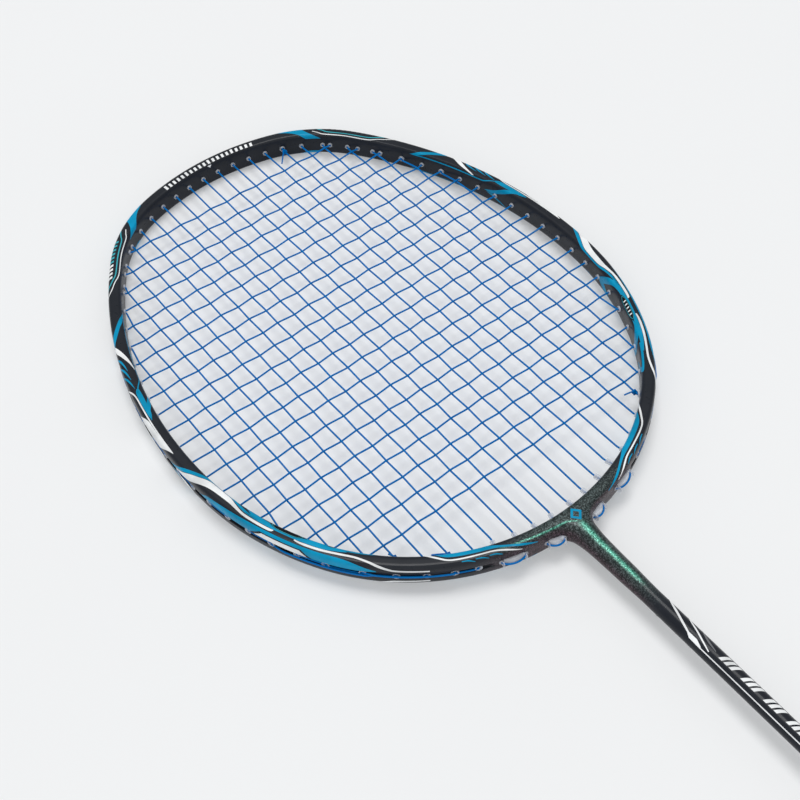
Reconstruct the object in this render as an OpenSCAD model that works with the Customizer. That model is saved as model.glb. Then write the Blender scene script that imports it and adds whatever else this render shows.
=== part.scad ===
// Badminton racket: carbon head and shaft, moulded throat, woven strings, wrapped octagonal handle.
// The string bed lies in the plane z = 0, the shaft along Y, and the butt end is at y = 0.

/* [Overall] */
// Length from the butt end to the tip of the head
overall_l = 675; // [670:1:680]
// Distance from the tip of the head to the middle of the string bed
bed_depth = 124; // [123:0.5:125]

/* [Head frame] */
// Centreline radius across the tip of the head
tip_r = 107; // [106:0.5:108]
// Angle from the tip to the start of a shoulder
tip_angle = 17.5; // [17:0.5:18]
// Centreline radius of a shoulder
shoulder_r = 63; // [62:0.5:64]
// Angle that a shoulder turns through
shoulder_angle = 37; // [36.5:0.5:37.5]
// Centreline radius of a side
side_r = 188; // [187:0.5:189]
// Angle that a side turns through
side_angle = 40.5; // [40:0.5:41]
// Centreline radius of a cheek, between a side and the throat
cheek_r = 126; // [125:0.5:127]
// Angle that a cheek turns through
cheek_angle = 25.5; // [25:0.5:26]
// Width of the frame, in the plane of the strings
frame_w = 5.6; // [5.4:0.1:6]
// Height of the frame, across the strings
frame_h = 11.3; // [11:0.1:11.6]
// Wall of the hollow frame
frame_wall = 0.8; // [0.7:0.1:0.9]
// Squareness of the frame's section, as a superellipse power
squareness = 3.2; // [2.8:0.1:3.6]
// Width of the string groove round the outside
groove_w = 2.6; // [2.5:0.1:2.8]
// Depth of the string groove
groove_depth = 0.9; // [0.8:0.1:1]
// Angle from the throat at which the groove stops
groove_stop = 21; // [20:0.5:22]

/* [Throat and shaft] */
// Angle each side of the throat that the moulded throat covers
throat_angle = 10; // [9.5:0.5:10.5]
// Length of the moulded throat, below the frame's centreline
throat_l = 44; // [40:1:48]
// Radius of the fillet between frame and stem
throat_fillet = 6; // [5.5:0.5:6.5]
// Outer diameter of the shaft
shaft_d = 7; // [6.8:0.1:7.2]
// Inner diameter of the shaft
shaft_bore = 4.4; // [4:0.1:4.8]
// Depth of the shaft in the handle
shaft_socket = 78; // [60:1:90]

/* [Strings] */
// String diameter
string_d = 0.7; // [0.62:0.02:0.7]
// Spacing of the main strings
main_pitch = 8.12; // [8:0.02:8.2]
// Extra gap before the outermost main
main_edge_gap = 0.5; // [0.3:0.1:0.7]
// Spacing of the cross strings
cross_pitch = 9.65; // [9.6:0.01:9.7]
// Extra gap before the first and the last cross
cross_edge_gap = 1.1; // [0.9:0.1:1.3]
// Rise of a cross string over a main
weave_rise = 0.74; // [0.73:0.01:0.78]

/* [Grommets] */
// Outer radius of a grommet's barrel
barrel_r = 1.1; // [1:0.05:1.15]
// Radius of a grommet's bore
grommet_bore = 0.6; // [0.55:0.05:0.65]
// Outer radius of the barrel of a grommet that two strings share
shared_barrel_r = 1.35; // [1.3:0.05:1.4]
// Bore radius of a grommet that two strings share
shared_bore = 0.85; // [0.8:0.05:0.9]
// Length of barrel that stands inside the hoop
barrel_stick = 0.9; // [0.6:0.1:1.2]
// The same for the long barrels at the throat
throat_stick = 4.6; // [4:0.1:5]
// Height of the string's crest over a bridge at the throat, above where it leaves the barrels
bridge_rise = 1.6; // [1.4:0.1:1.8]

/* [Handle] */
// Width of the handle core across its flats
core_w = 23.5; // [22:0.5:25]
// Thickness of the handle core across its flats
core_h = 21; // [20:0.5:22]
// Corner chamfer of the octagonal handle core
core_chamfer = 6; // [5:0.5:6.5]
// Y of the top of the octagonal core
core_top = 168; // [164:1:172]
// Extra width and thickness of the flare at the butt
flare = 5.5; // [4:0.5:6]
// Length of the flare
flare_l = 20; // [16:1:24]
// Thickness of the grip wrap
grip_t = 1.7; // [1.5:0.1:2]
// Y of the narrow end of the cone
cone_top = 201; // [198:1:205]
// Thickness of the butt cap
cap_t = 4; // [3:0.5:5]

/* [Hidden] */

$fn = 48;
gap = 0.02;             // clearance between pieces that touch
half_w = frame_w / 2;
half_h = frame_h / 2;
string_r = string_d / 2;
groove_r = half_w - groove_depth;       // groove floor, measured from the centreline
flange_t = 0.5;
flange_r = groove_w / 2 - 0.05;
run_r = groove_r + flange_t + string_r + 0.06;  // where the outer runs lie
run_z = 0.45;                           // mains run below the middle of the groove, crosses above
seam_trim = 0.01;
exit_z = 0.24;                          // how far a string has moved to its side as it leaves a barrel
pair_z = 0.42;                          // two strings in one barrel lie this far each side of the middle

// The hoop's half outline is five tangent arcs. Angle 0 is the tip, and 180 the throat.
hoop_start = [
    0, tip_angle, tip_angle + shoulder_angle, tip_angle + shoulder_angle + side_angle,
    tip_angle + shoulder_angle + side_angle + cheek_angle, 180
];
open_r = [tip_r, shoulder_r, side_r, cheek_r];
function normal_at(a) = [sin(a), cos(a)];
function arc_centre(k) = k == 0
    ? [0, overall_l - half_w - tip_r]
    : arc_centre(k - 1) + (arc_r(k - 1) - arc_r(k)) * normal_at(hoop_start[k]);
// The last arc closes the hoop, so its centre is on the axis.
function arc_r(k) = k < 4 ? open_r[k] : cheek_r + arc_centre(3)[0] / sin(hoop_start[4]);
centres = [for (k = [0:4]) arc_centre(k)];
radii = [for (k = [0:4]) arc_r(k)];
function arc_of(a) = max([for (k = [0:4]) if (hoop_start[k] <= a) k]);
function on_hoop(a, out = 0) = centres[arc_of(a)] + (radii[arc_of(a)] + out) * normal_at(a);
bed_y = overall_l - bed_depth;
throat_y = on_hoop(180)[1];             // the frame's centreline at the throat

// String positions. Mains count outwards from the middle, and crosses from the tip.
MAINS = 11;             // a side
CROSSES = 21;
function main_x(i) = main_pitch * (i + 0.5) + (i == MAINS - 1 ? main_edge_gap : 0);
function cross_y(j) = bed_y + 0.3 + cross_pitch * (10 - j)
    + (j == 0 ? cross_edge_gap : j == CROSSES - 1 ? -cross_edge_gap : 0);

// Hole angles, where a string's line meets the ends of the barrels.
function valid(a, k) = a >= hoop_start[k] && a <= hoop_start[k + 1];
function column_hole(x, tip, stick) = [
    for (k = [0:4])
        let (s = (x - centres[k][0]) / (radii[k] - half_w - stick))
        if (abs(s) <= 1)
            let (a = tip ? asin(s) : 180 - asin(s))
            if (valid(a, k)) a
][0];
function row_hole(y) = [
    for (k = [0:4])
        let (s = (y - centres[k][1]) / (radii[k] - half_w - barrel_stick))
        if (abs(s) <= 1)
            let (a = acos(s))
            if (valid(a, k)) a
][0];
cross_holes = [for (j = [0:CROSSES - 1]) row_hole(cross_y(j))];
// The outer mains share a hole with a cross: [main, cross].
TIP_SHARED = [[9, 3], [10, 5]];
THROAT_SHARED = [[8, 20], [9, 19], [10, 17]];
function shared_with(i, pairs) = [for (p = pairs) if (p[0] == i) p[1]];
tip_nudge = 0.6;        // degrees that main 8's hole is moved, to clear its neighbour
tip_holes = [
    for (i = [0:MAINS - 1])
        let (s = shared_with(i, TIP_SHARED))
        len(s) ? cross_holes[s[0]] : column_hole(main_x(i), true, barrel_stick) - (i == 8 ? tip_nudge : 0)
];
function main_stick(i) = i < 4 ? throat_stick : i == 4 ? 2.5 : barrel_stick;
throat_holes = [
    for (i = [0:MAINS - 1])
        let (s = shared_with(i, THROAT_SHARED))
        len(s) ? cross_holes[s[0]] : column_hole(main_x(i), false, main_stick(i))
];
function tip_is_shared(i) = len(shared_with(i, TIP_SHARED)) > 0;
function throat_is_shared(i) = len(shared_with(i, THROAT_SHARED)) > 0;
function cross_is_shared(j) = len([for (p = concat(TIP_SHARED, THROAT_SHARED)) if (p[1] == j) 1]) > 0;

// Tie-off holes carry a string and a tie: mains 7 at the throat, and for the crosses
// main 4 at the tip's right and main 5 at the throat's left.
TIE_MAIN = 7;
TIE_CROSS_TIP = 4;
TIE_CROSS_THROAT = 5;

// The innermost holes leave through the fillets, beside the stem.
stem_exit = [7.4, throat_y - 5];
inner_mouth = [main_x(0), on_hoop(throat_holes[0], -half_w - throat_stick)[1]];

// ---- shapes that several pieces share ----

// Superellipse outline, as a polygon
function power_point(a, w, h, p) = [
    w * sign(cos(a)) * pow(abs(cos(a)), 2 / p),
    h * sign(sin(a)) * pow(abs(sin(a)), 2 / p)
];
function superellipse(w, h, p, n = 24) = [for (i = [0:n - 1]) power_point(360 * i / n, w, h, p)];

module frame_section(extra = 0) {
    polygon(superellipse(half_w + extra, half_h + extra, squareness));
}

module hollow_section(groove, skin = 0) {
    wall = frame_wall + skin;
    difference() {
        frame_section(skin);
        intersection() {
            polygon(superellipse(half_w - wall, half_h - wall, squareness));
            translate([-half_w, -half_h]) square([half_w + groove_r - wall, frame_h]);
        }
        if (groove) translate([groove_r + skin, skin - groove_w / 2]) square([half_w, groove_w - 2 * skin]);
    }
}

// A hair-thin band that joins two arcs of the frame
module seam(a, groove) {
    at_hole(a) rotate([90, 0, 0])
        linear_extrude(0.3, center = true) hollow_section(groove, gap);
}

// Sweep a section along the hoop's centreline between two angles, on one side.
// A little is trimmed off both ends of each arc where a seam covers the joint.
module along_hoop(from, to, trim = 0) {
    for (k = [0:4]) {
        small = trim / radii[k] * 180 / PI;
        a0 = max(from, hoop_start[k]) + small;
        a1 = min(to, hoop_start[k + 1]) - small;
        if (a1 > a0)
            translate([centres[k][0], centres[k][1], 0])
                rotate([0, 0, 90 - a1])
                    rotate_extrude(angle = a1 - a0, $fn = 180) translate([radii[k], 0]) children();
    }
}

module both_sides() {
    children();
    mirror([1, 0, 0]) children();
}

module on_side(side) {
    if (side > 0) children();
    else mirror([1, 0, 0]) children();
}

// Place children at a hole: local +X points outwards, and the origin is on the centreline
module at_hole(a) {
    p = on_hoop(a);
    translate([p[0], p[1], 0]) rotate([0, 0, 90 - a]) children();
}

module rod_x(x0, x1, r) {
    translate([x0, 0, 0]) rotate([0, 90, 0]) cylinder(h = x1 - x0, r = r);
}

// A rod from one point of the plane z = 0 to another, lengthened at both ends
module rod_between(p, q, r, more = 0) {
    d = q - p;
    translate([p[0], p[1], 0]) rotate([0, 0, atan2(d[1], d[0])]) rod_x(-more, norm(d) + more, r);
}

// Straight Y-direction solids for the shaft and handle
module along_y(y0, y1) {
    translate([0, y1, 0]) rotate([90, 0, 0]) linear_extrude(y1 - y0) children();
}

module rod_y(y0, y1, r0, r1) {
    translate([0, y0, 0]) rotate([-90, 0, 0]) cylinder(h = y1 - y0, r1 = r0, r2 = r1);
}

// ---- head, throat and shaft ----

module single_drill(a) {
    at_hole(a) rod_x(-half_w - 1, half_w + 1, barrel_r + gap);
}

module shared_drill(a) {
    at_hole(a) {
        rod_x(-half_w - 1, half_w + 1, shared_barrel_r + gap);
        rod_x(groove_r, half_w + 1, shared_barrel_r + 0.3);
    }
}

module stem_drill() {
    rod_between(inner_mouth, stem_exit, barrel_r + gap, 3);
}

module head_frame() {
    color([0.06, 0.06, 0.07]) difference() {
        union() {
            both_sides() {
                along_hoop(0, 180 - groove_stop, seam_trim) hollow_section(true);
                along_hoop(180 - groove_stop, 180 - throat_angle, seam_trim) hollow_section(false);
                for (k = [1:4]) seam(hoop_start[k], true);
                seam(180 - groove_stop, false);
            }
            seam(0, true);
        }
        both_sides() {
            for (i = [0:8]) if (!tip_is_shared(i)) single_drill(tip_holes[i]);
            for (i = [2:6]) single_drill(throat_holes[i]);
            for (j = [0:CROSSES - 1])
                if (cross_is_shared(j)) shared_drill(cross_holes[j]);
                else single_drill(cross_holes[j]);
            shared_drill(throat_holes[TIE_MAIN]);
        }
        shared_drill(tip_holes[TIE_CROSS_TIP]);
        mirror([1, 0, 0]) shared_drill(throat_holes[TIE_CROSS_THROAT]);
    }
}

// The stem's half width and half height at a distance t below the frame's centreline
stem_r0 = shaft_d / 2 + 0.3;
function fade(t) = exp(-(t - 11.5) / 10);
function fillet_w(t) = t >= half_w + throat_fillet ? 0
    : throat_fillet - sqrt(max(0, pow(throat_fillet, 2) - pow(throat_fillet + half_w - t, 2)));
function stem_half_w(t) = stem_r0 + 0.8 * fade(max(t, 9)) + fillet_w(max(t, half_w));
function ease(u) = u <= 0 ? 0 : u >= 1 ? 1 : u * u * (3 - 2 * u);
function stem_half_h(t) = let (s = stem_r0 + 0.8 * fade(max(t, 9)))
    s + (half_h - 0.1 - s) * ease(1 - t / 15);
function stem_power(t) = 2 + (squareness - 2) * ease(1 - t / 13);
STEM_RINGS = 18;
STEM_SIDES = 28;
function stem_t(i) = i == 0 ? 0.6 : half_w + (throat_l - half_w) * pow((i - 1) / (STEM_RINGS - 2), 1.8);

module stem() {
    rings = [
        for (i = [0:STEM_RINGS - 1])
            let (t = stem_t(i), last = i == STEM_RINGS - 1)
            [for (p = superellipse(
                last ? shaft_d / 2 + 0.12 : stem_half_w(t),
                last ? shaft_d / 2 + 0.12 : stem_half_h(t),
                stem_power(t), STEM_SIDES
            )) [p[0], throat_y - t, p[1]]]
    ];
    loft(rings);
}

// Closed solid through rings of points that all have the same number of points
module loft(rings) {
    n = len(rings[0]);
    m = len(rings);
    polyhedron(
        points = [for (r = rings) each r],
        faces = concat(
            [[for (i = [0:n - 1]) i]],
            [for (k = [0:m - 2]) for (i = [0:n - 1])
                let (j = (i + 1) % n, a = k * n, b = a + n)
                each [[a + i, b + i, b + j], [a + i, b + j, a + j]]],
            [[for (i = [n - 1:-1:0]) (m - 1) * n + i]]
        )
    );
}

shaft_top = throat_y - 14;
stem_core_r = shaft_bore / 2 - gap / 2;
ARM_ANGLE = 15;         // how far each arm of the joint reaches round the hoop
arm_in = half_w - frame_wall - 0.4;     // the arms' inner face, inwards from the centreline
arm_out = 0.2;
arm_half_h = 3.6;

module arms(extra = 0) {
    both_sides() along_hoop(180 - ARM_ANGLE, 180)
        translate([-arm_in - extra, -arm_half_h - extra])
            square([arm_in + arm_out + 2 * extra, 2 * (arm_half_h + extra)]);
}

module throat_moulding() {
    color([0.13, 0.17, 0.16]) difference() {
        union() {
            both_sides() along_hoop(180 - throat_angle, 180) frame_section();
            stem();
        }
        arms(gap);
        rod_y(shaft_top - 1, throat_y, shaft_bore / 2, shaft_bore / 2);
        rod_y(throat_y - throat_l - 1, shaft_top, shaft_d / 2 + gap, shaft_d / 2 + gap);
        both_sides() {
            stem_drill();
            single_drill(throat_holes[1]);
        }
    }
}

module t_joint() {
    color([0.55, 0.55, 0.58]) difference() {
        union() {
            arms();
            rod_y(throat_y - 50, throat_y, stem_core_r, stem_core_r);
        }
        both_sides() {
            stem_drill();
            single_drill(throat_holes[1]);
        }
    }
}

module shaft() {
    color([0.05, 0.05, 0.06]) difference() {
        rod_y(core_top + 10 - shaft_socket, shaft_top - gap, shaft_d / 2, shaft_d / 2);
        rod_y(core_top + 9 - shaft_socket, shaft_top + 1, shaft_bore / 2, shaft_bore / 2);
    }
}

// ---- handle ----

module octagon(w, h, c) {
    x = w / 2;
    y = h / 2;
    polygon([
        [x, c - y], [x, y - c], [x - c, y], [c - x, y],
        [-x, y - c], [-x, c - y], [c - x, -y], [x - c, -y]
    ]);
}

// The octagonal body with its flare, grown outwards by a thickness
module handle_body(y0, y1, grow) {
    more = 2 * grow;
    cut = core_chamfer + grow * (2 - sqrt(2));
    along_y(flare_l + cap_t, y1) octagon(core_w + more, core_h + more, cut);
    hull() {
        along_y(flare_l + cap_t - 0.01, flare_l + cap_t) octagon(core_w + more, core_h + more, cut);
        along_y(y0, y0 + 4) octagon(core_w + flare + more, core_h + flare + more, cut + 1);
    }
}

SPIGOT_R = 7;
PEG_R = 3;
PEG_L = 12;

module handle_core() {
    color([0.78, 0.62, 0.42]) difference() {
        union() {
            handle_body(cap_t + gap, core_top, 0);
            rod_y(core_top - 1, core_top + 10, SPIGOT_R, SPIGOT_R);
        }
        rod_y(core_top + 10 - shaft_socket - gap, core_top + 11, shaft_d / 2 + gap, shaft_d / 2 + gap);
        rod_y(0, cap_t + PEG_L + 1, PEG_R + gap, PEG_R + gap);
    }
}

module grip_wrap() {
    color([0.1, 0.1, 0.11]) difference() {
        handle_body(cap_t + gap, core_top - 1, grip_t);
        handle_body(cap_t, core_top, gap);
    }
}

module grip_tape() {
    tape_t = 0.3;
    more = 2 * (grip_t + gap);
    cut = core_chamfer + grip_t * (2 - sqrt(2));
    color([0.16, 0.16, 0.18]) difference() {
        along_y(core_top - 16, core_top - 2)
            octagon(core_w + more + 2 * tape_t, core_h + more + 2 * tape_t, cut + 0.2);
        along_y(core_top - 17, core_top) octagon(core_w + more, core_h + more, cut);
    }
}

module cone() {
    neck_y = core_top + 16;
    neck_r = 8.2;
    lip_r = 5.3;
    color([0.06, 0.06, 0.07]) difference() {
        union() {
            hull() {
                along_y(core_top + gap, core_top + 3) octagon(core_w, core_h, core_chamfer);
                rod_y(neck_y - 0.5, neck_y, neck_r, neck_r);
            }
            rod_y(neck_y - 0.1, cone_top - 3, neck_r, lip_r - 0.5);
            rod_y(cone_top - 3.2, cone_top, lip_r, lip_r);
        }
        rod_y(core_top - 1, core_top + 10 + gap, SPIGOT_R + gap, SPIGOT_R + gap);
        rod_y(core_top, cone_top + 1, shaft_d / 2 + gap, shaft_d / 2 + gap);
        for (y = [neck_y + 3, neck_y + 7])
            translate([0, y, 0]) rotate([-90, 0, 0])
                rotate_extrude() translate([neck_r - 1.2, 0]) square([2, 1.2]);
    }
}

DISC_R = 9;
DISC_T = 0.8;

module butt_cap() {
    rim = flare + 2 * grip_t;
    color([0.05, 0.05, 0.06]) difference() {
        union() {
            along_y(0, cap_t) octagon(core_w + rim, core_h + rim, core_chamfer + 2);
            rod_y(cap_t - 0.5, cap_t + PEG_L, PEG_R, PEG_R);
        }
        rod_y(-1, DISC_T, DISC_R + gap, DISC_R + gap);
    }
}

module butt_disc() {
    color([0.05, 0.5, 0.75]) rod_y(0, DISC_T - gap, DISC_R, DISC_R);
}

// ---- grommets ----

module grommet(a, stick = barrel_stick) {
    at_hole(a) difference() {
        union() {
            rod_x(-half_w - stick, groove_r + flange_t, barrel_r);
            rod_x(groove_r + gap / 2, groove_r + flange_t, flange_r);
        }
        rod_x(-half_w - stick - 1, half_w + 1, grommet_bore);
    }
}

module shared_grommet(a, stick = barrel_stick) {
    at_hole(a) difference() {
        union() {
            rod_x(-half_w - stick, groove_r + flange_t, shared_barrel_r);
            rod_x(groove_r + gap / 2, groove_r + flange_t, shared_barrel_r + 0.25);
        }
        rod_x(-half_w - stick - 1, half_w + 1, shared_bore);
    }
}

module clear_plastic() {
    color([0.85, 0.88, 0.9]) children();
}

module tip_grommets() {
    clear_plastic() {
        both_sides() for (i = [0, 1, 2, 3, 5]) grommet(tip_holes[i]);
        mirror([1, 0, 0]) grommet(tip_holes[TIE_CROSS_TIP]);
    }
}

module shoulder_grommets(side) {
    clear_plastic() on_side(side) {
        for (i = [6:8]) grommet(tip_holes[i]);
        for (j = [0:6]) if (!cross_is_shared(j)) grommet(cross_holes[j]);
    }
}

module side_grommets(side) {
    clear_plastic() on_side(side) for (j = [7:16]) grommet(cross_holes[j]);
}

module cheek_grommets(side) {
    clear_plastic() on_side(side) {
        grommet(cross_holes[18]);
        grommet(throat_holes[6]);
        if (side > 0) grommet(throat_holes[TIE_CROSS_THROAT]);
        grommet(throat_holes[4], main_stick(4));
    }
}

module left_shoulder_grommets() { shoulder_grommets(-1); }
module right_shoulder_grommets() { shoulder_grommets(1); }
module left_side_grommets() { side_grommets(-1); }
module right_side_grommets() { side_grommets(1); }
module left_cheek_grommets() { cheek_grommets(-1); }
module right_cheek_grommets() { cheek_grommets(1); }

module shared_grommets() {
    clear_plastic() both_sides()
        for (j = [0:CROSSES - 1]) if (cross_is_shared(j)) shared_grommet(cross_holes[j]);
}

module tie_off_grommets() {
    clear_plastic() {
        both_sides() shared_grommet(throat_holes[TIE_MAIN]);
        shared_grommet(tip_holes[TIE_CROSS_TIP]);
        mirror([1, 0, 0]) shared_grommet(throat_holes[TIE_CROSS_THROAT]);
    }
}

// At the throat two barrels and a saddle are one piece, and the string crosses over the saddle.
BRIDGE_HALF_H = 1.5;
function exit_of(i) = i == 0 ? stem_exit : on_hoop(throat_holes[i], half_w + flange_t + string_r + gap);
function bridge_circle(p, q) =
    let (d = q - p, c = norm(d) / 2, r = (c * c + bridge_rise * bridge_rise) / (2 * bridge_rise))
    let (out = [-d[1], d[0]] / norm(d))
    [(p + q) / 2 - (r - bridge_rise) * (out[1] < 0 ? out : -out), r];

module throat_barrel(i, r, more = 0) {
    inner = i == 0 ? inner_mouth : mouth(throat_holes[i], throat_stick);
    leave = unit(exit_of(i) - inner);
    rod_between(inner - more * leave, exit_of(i) - (string_r + gap - more) * leave, r);
}

module throat_flange(i) {
    inner = i == 0 ? inner_mouth : mouth(throat_holes[i], throat_stick);
    leave = unit(exit_of(i) - inner);
    from = exit_of(i) - (string_r + 1.2) * leave;
    rod_between(from, exit_of(i) - (string_r + gap) * leave, BRIDGE_HALF_H);
}

// The part of a disc that stands outside the chord between two exits
module saddle(p, q) {
    circ = bridge_circle(p, q);
    d = q - p;
    intersection() {
        translate([circ[0][0], circ[0][1], -BRIDGE_HALF_H])
            cylinder(h = 2 * BRIDGE_HALF_H, r = circ[1] - string_r - gap);
        translate([p[0], p[1], 0]) rotate([0, 0, atan2(d[1], d[0])])
            translate([0, -3, -BRIDGE_HALF_H]) cube([norm(d), 4.2, 2 * BRIDGE_HALF_H]);
    }
}

module bridge(i, k) {
    difference() {
        union() {
            difference() {
                union() {
                    saddle(exit_of(i), exit_of(k));
                    throat_flange(i);
                    throat_flange(k);
                }
                along_hoop(150, 180) frame_section(gap);
                if (i == 0) stem();
            }
            throat_barrel(i, barrel_r);
            throat_barrel(k, barrel_r);
        }
        throat_barrel(i, grommet_bore, 1);
        throat_barrel(k, grommet_bore, 1);
    }
}

module bridge_grommets() {
    clear_plastic() both_sides() {
        bridge(0, 1);
        bridge(2, 3);
    }
}

// ---- strings ----

function at(p, z) = [p[0], p[1], z];
function flip(side, p) = [side * p[0], p[1], p[2]];
function mouth(a, stick) = on_hoop(a, -half_w - stick);

// Points from inside the hoop to the outer run, through one hole
function way_out(a, stick, z_in, z_exit, z_run) = [
    at(mouth(a, stick), z_in),
    at(on_hoop(a, groove_r + flange_t), z_exit),
    at(on_hoop(a, run_r), z_run)
];
function tip_out(i) = let (s = tip_is_shared(i) || i == TIE_CROSS_TIP)
    way_out(tip_holes[i], barrel_stick, s ? -pair_z : 0, s ? -pair_z : -exit_z, -run_z);
function throat_out(i) = let (s = throat_is_shared(i) || i == TIE_MAIN || i == TIE_CROSS_THROAT)
    i < 4 ? [at(i == 0 ? inner_mouth : mouth(throat_holes[i], throat_stick), 0), at(exit_of(i), 0)]
    : way_out(throat_holes[i], main_stick(i), s ? -pair_z : 0, s ? -pair_z : -exit_z, -run_z);
function cross_out(j) = let (s = cross_is_shared(j))
    way_out(cross_holes[j], barrel_stick, s ? pair_z : 0, s ? pair_z : exit_z, run_z);

// A cross meets a main where the main is inside the cross's barrels and doesn't share its hole.
function share(i, j) = len([for (p = concat(TIP_SHARED, THROAT_SHARED)) if (p == [i, j]) 1]) > 0;
function room(i, j) = mouth(cross_holes[j], barrel_stick)[0] - main_x(i);
function meets(i, j) = room(i, j) > 0.9 && !share(i, j);
function met(i) = [for (j = [0:CROSSES - 1]) if (meets(i, j)) j];
function main_line(i) = let (m = met(i)) [
    [main_x(i), cross_y(m[0]), 0], [main_x(i), cross_y(m[len(m) - 1]), 0]
];
function backwards(l) = [for (k = [len(l) - 1:-1:0]) l[k]];
function main_down(i) = concat(backwards(tip_out(i)), main_line(i), throat_out(i));
function bridge_over(i, k) =
    let (p = exit_of(i), q = exit_of(k), c = bridge_circle(p, q))
    let (a0 = atan2(p[1] - c[0][1], p[0] - c[0][0]), a1 = atan2(q[1] - c[0][1], q[0] - c[0][0]))
    [for (n = [1:5]) let (a = a0 + (a1 - a0) * n / 6) at(c[0] + c[1] * [cos(a), sin(a)], 0)];

// Points between two holes, along the outside of the hoop
function run_on(from, to, z, parts = 3) = [
    for (n = [1:parts - 1]) at(on_hoop(from + (to - from) * n / parts, run_r), z)
];
// Half of the main string, from the middle of the tip outwards. Main 0 goes down, main 1 up, and so on.
function main_turn(i) = i == 0 || i == 2 ? bridge_over(i, i + 1)
    : i == MAINS - 1 ? []
    : i % 2 ? run_on(tip_holes[i], tip_holes[i + 1], -run_z)
    : run_on(throat_holes[i], throat_holes[i + 1], -run_z);
function main_half() = [
    for (i = [0:MAINS - 1])
        each concat(i % 2 ? backwards(main_down(i)) : main_down(i), main_turn(i))
];
// A tie runs on top of the runs that it passes
tie_lift = string_d + 0.12;
function tie_run(from, to, z, parts = 8) = [
    for (n = [1:parts]) at(on_hoop(from + (to - from) * n / parts, run_r + tie_lift), z)
];
// The main tie passes mains 9 and 8, then drops into the groove and enters the hole of main 7.
function main_tie() = let (a = throat_holes[TIE_MAIN]) concat(
    tie_run(throat_holes[MAINS - 1], throat_holes[TIE_MAIN + 1] + 0.8, -run_z),
    [
        at(on_hoop(a - 4, run_r), -run_z),
        at(on_hoop(a - 1, run_r), -run_z),
        at(on_hoop(a, groove_r + flange_t), pair_z),
        at(mouth(a, barrel_stick), pair_z),
        at(mouth(a, barrel_stick + 0.5), pair_z)
    ]
);
function whole_half() = concat(main_half(), main_tie());
main_route = concat(
    [for (p = backwards(whole_half())) flip(-1, p)],
    [at(on_hoop(0, run_r), -run_z)],
    whole_half()
);

function weave(i, j, side) = ((i + j) % 2 == 0 ? 1 : -1) * side * weave_rise;
// Next to the hoop a cross stays level past the last main before it dips into its barrel.
function cross_half(j, side) = [
    for (i = [0:MAINS - 1]) if (meets(i, j)) each [
        [side * main_x(i), cross_y(j), weave(i, j, side)],
        if (room(i, j) < 2) [side * (main_x(i) + 0.4), cross_y(j), weave(i, j, side)]
    ]
];
function cross_right(j) = concat(
    backwards(cross_half(j, -1)),
    cross_half(j, 1),
    cross_out(j)
);
function cross_run(j) = concat(
    [for (p = backwards(cross_out(j))) flip(-1, p)],
    cross_right(j)
);
// Cross 0 starts at a knot inside the hole of main 4, and runs along the groove to its own right-hand hole.
start_hole = tip_holes[TIE_CROSS_TIP];
tip_tie = concat(
    [
        at(mouth(start_hole, barrel_stick + 0.5), pair_z),
        at(mouth(start_hole, barrel_stick), pair_z),
        at(on_hoop(start_hole, groove_r + flange_t), pair_z),
        at(on_hoop(start_hole, run_r), run_z)
    ],
    run_on(start_hole, cross_holes[0], run_z, 8)
);
throat_tie = concat(
    [for (p = tie_run(cross_holes[CROSSES - 1], throat_holes[TIE_CROSS_THROAT], run_z)) flip(-1, p)],
    [
        flip(-1, at(on_hoop(throat_holes[TIE_CROSS_THROAT], groove_r + flange_t), pair_z)),
        flip(-1, at(mouth(throat_holes[TIE_CROSS_THROAT], barrel_stick + 0.5), pair_z))
    ]
);
// The other crosses run on to the next one round the outside: even crosses to the left, odd to the right.
function cross_turn(j) = j == CROSSES - 1 ? [] : [
    for (p = run_on(cross_holes[j], cross_holes[j + 1], run_z)) flip(j % 2 ? 1 : -1, p)
];
cross_route = concat(
    tip_tie,
    [for (j = [0:CROSSES - 1]) each concat(j % 2 ? cross_run(j) : backwards(cross_run(j)), cross_turn(j))],
    throat_tie
);

// Round string along a route that never runs up or down Z
STRING_SIDES = 6;
function unit(v) = v / norm(v);
function flat_dir(route, k) = let (
    before = k > 0 ? unit(route[k] - route[k - 1]) : [0, 0, 0],
    after = k < len(route) - 1 ? unit(route[k + 1] - route[k]) : [0, 0, 0]
) unit(before + after);
function ring(p, d) = let (u = unit(cross([0, 0, 1], d)), v = cross(d, u)) [
    for (n = [0:STRING_SIDES - 1])
        let (a = 360 * (n + 0.5) / STRING_SIDES)
        p + string_r * (cos(a) * u + sin(a) * v)
];

module string(route) {
    color([0.02, 0.38, 0.85]) loft([for (k = [0:len(route) - 1]) ring(route[k], flat_dir(route, k))]);
}

module main_string() { string(main_route); }
module cross_string() { string(cross_route); }

// Two turns round a main, just inside its barrel, with a short tail at an angle from +X
module knot(i, tip, tail, tail_l) {
    ring_r = 2 * string_r + 0.12;
    turn_pitch = 0.62;
    into = tip ? -1 : 1;
    a = tip ? tip_holes[i] : throat_holes[i];
    p = [main_x(i), mouth(a, barrel_stick)[1] + 1.3 * into];
    color([0.02, 0.3, 0.75]) translate([p[0], p[1], 0.06 - pair_z]) {
        for (y = [0, turn_pitch])
            translate([0, y * into, 0]) rotate([90, 0, 0])
                rotate_extrude() translate([ring_r, 0]) circle(r = string_r);
        translate([0, turn_pitch * into, ring_r]) rotate([0, 90, tail])
            translate([0, 0, -0.2]) cylinder(h = tail_l, r = string_r - 0.03);
    }
}

module main_knots() {
    knot(TIE_MAIN, false, 164, 5.4);
    mirror([1, 0, 0]) knot(TIE_MAIN, false, 66, 3);
}

module cross_knots() {
    knot(TIE_CROSS_TIP, true, 229, 10);
    mirror([1, 0, 0]) knot(TIE_CROSS_THROAT, false, 36, 7);
}

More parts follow.
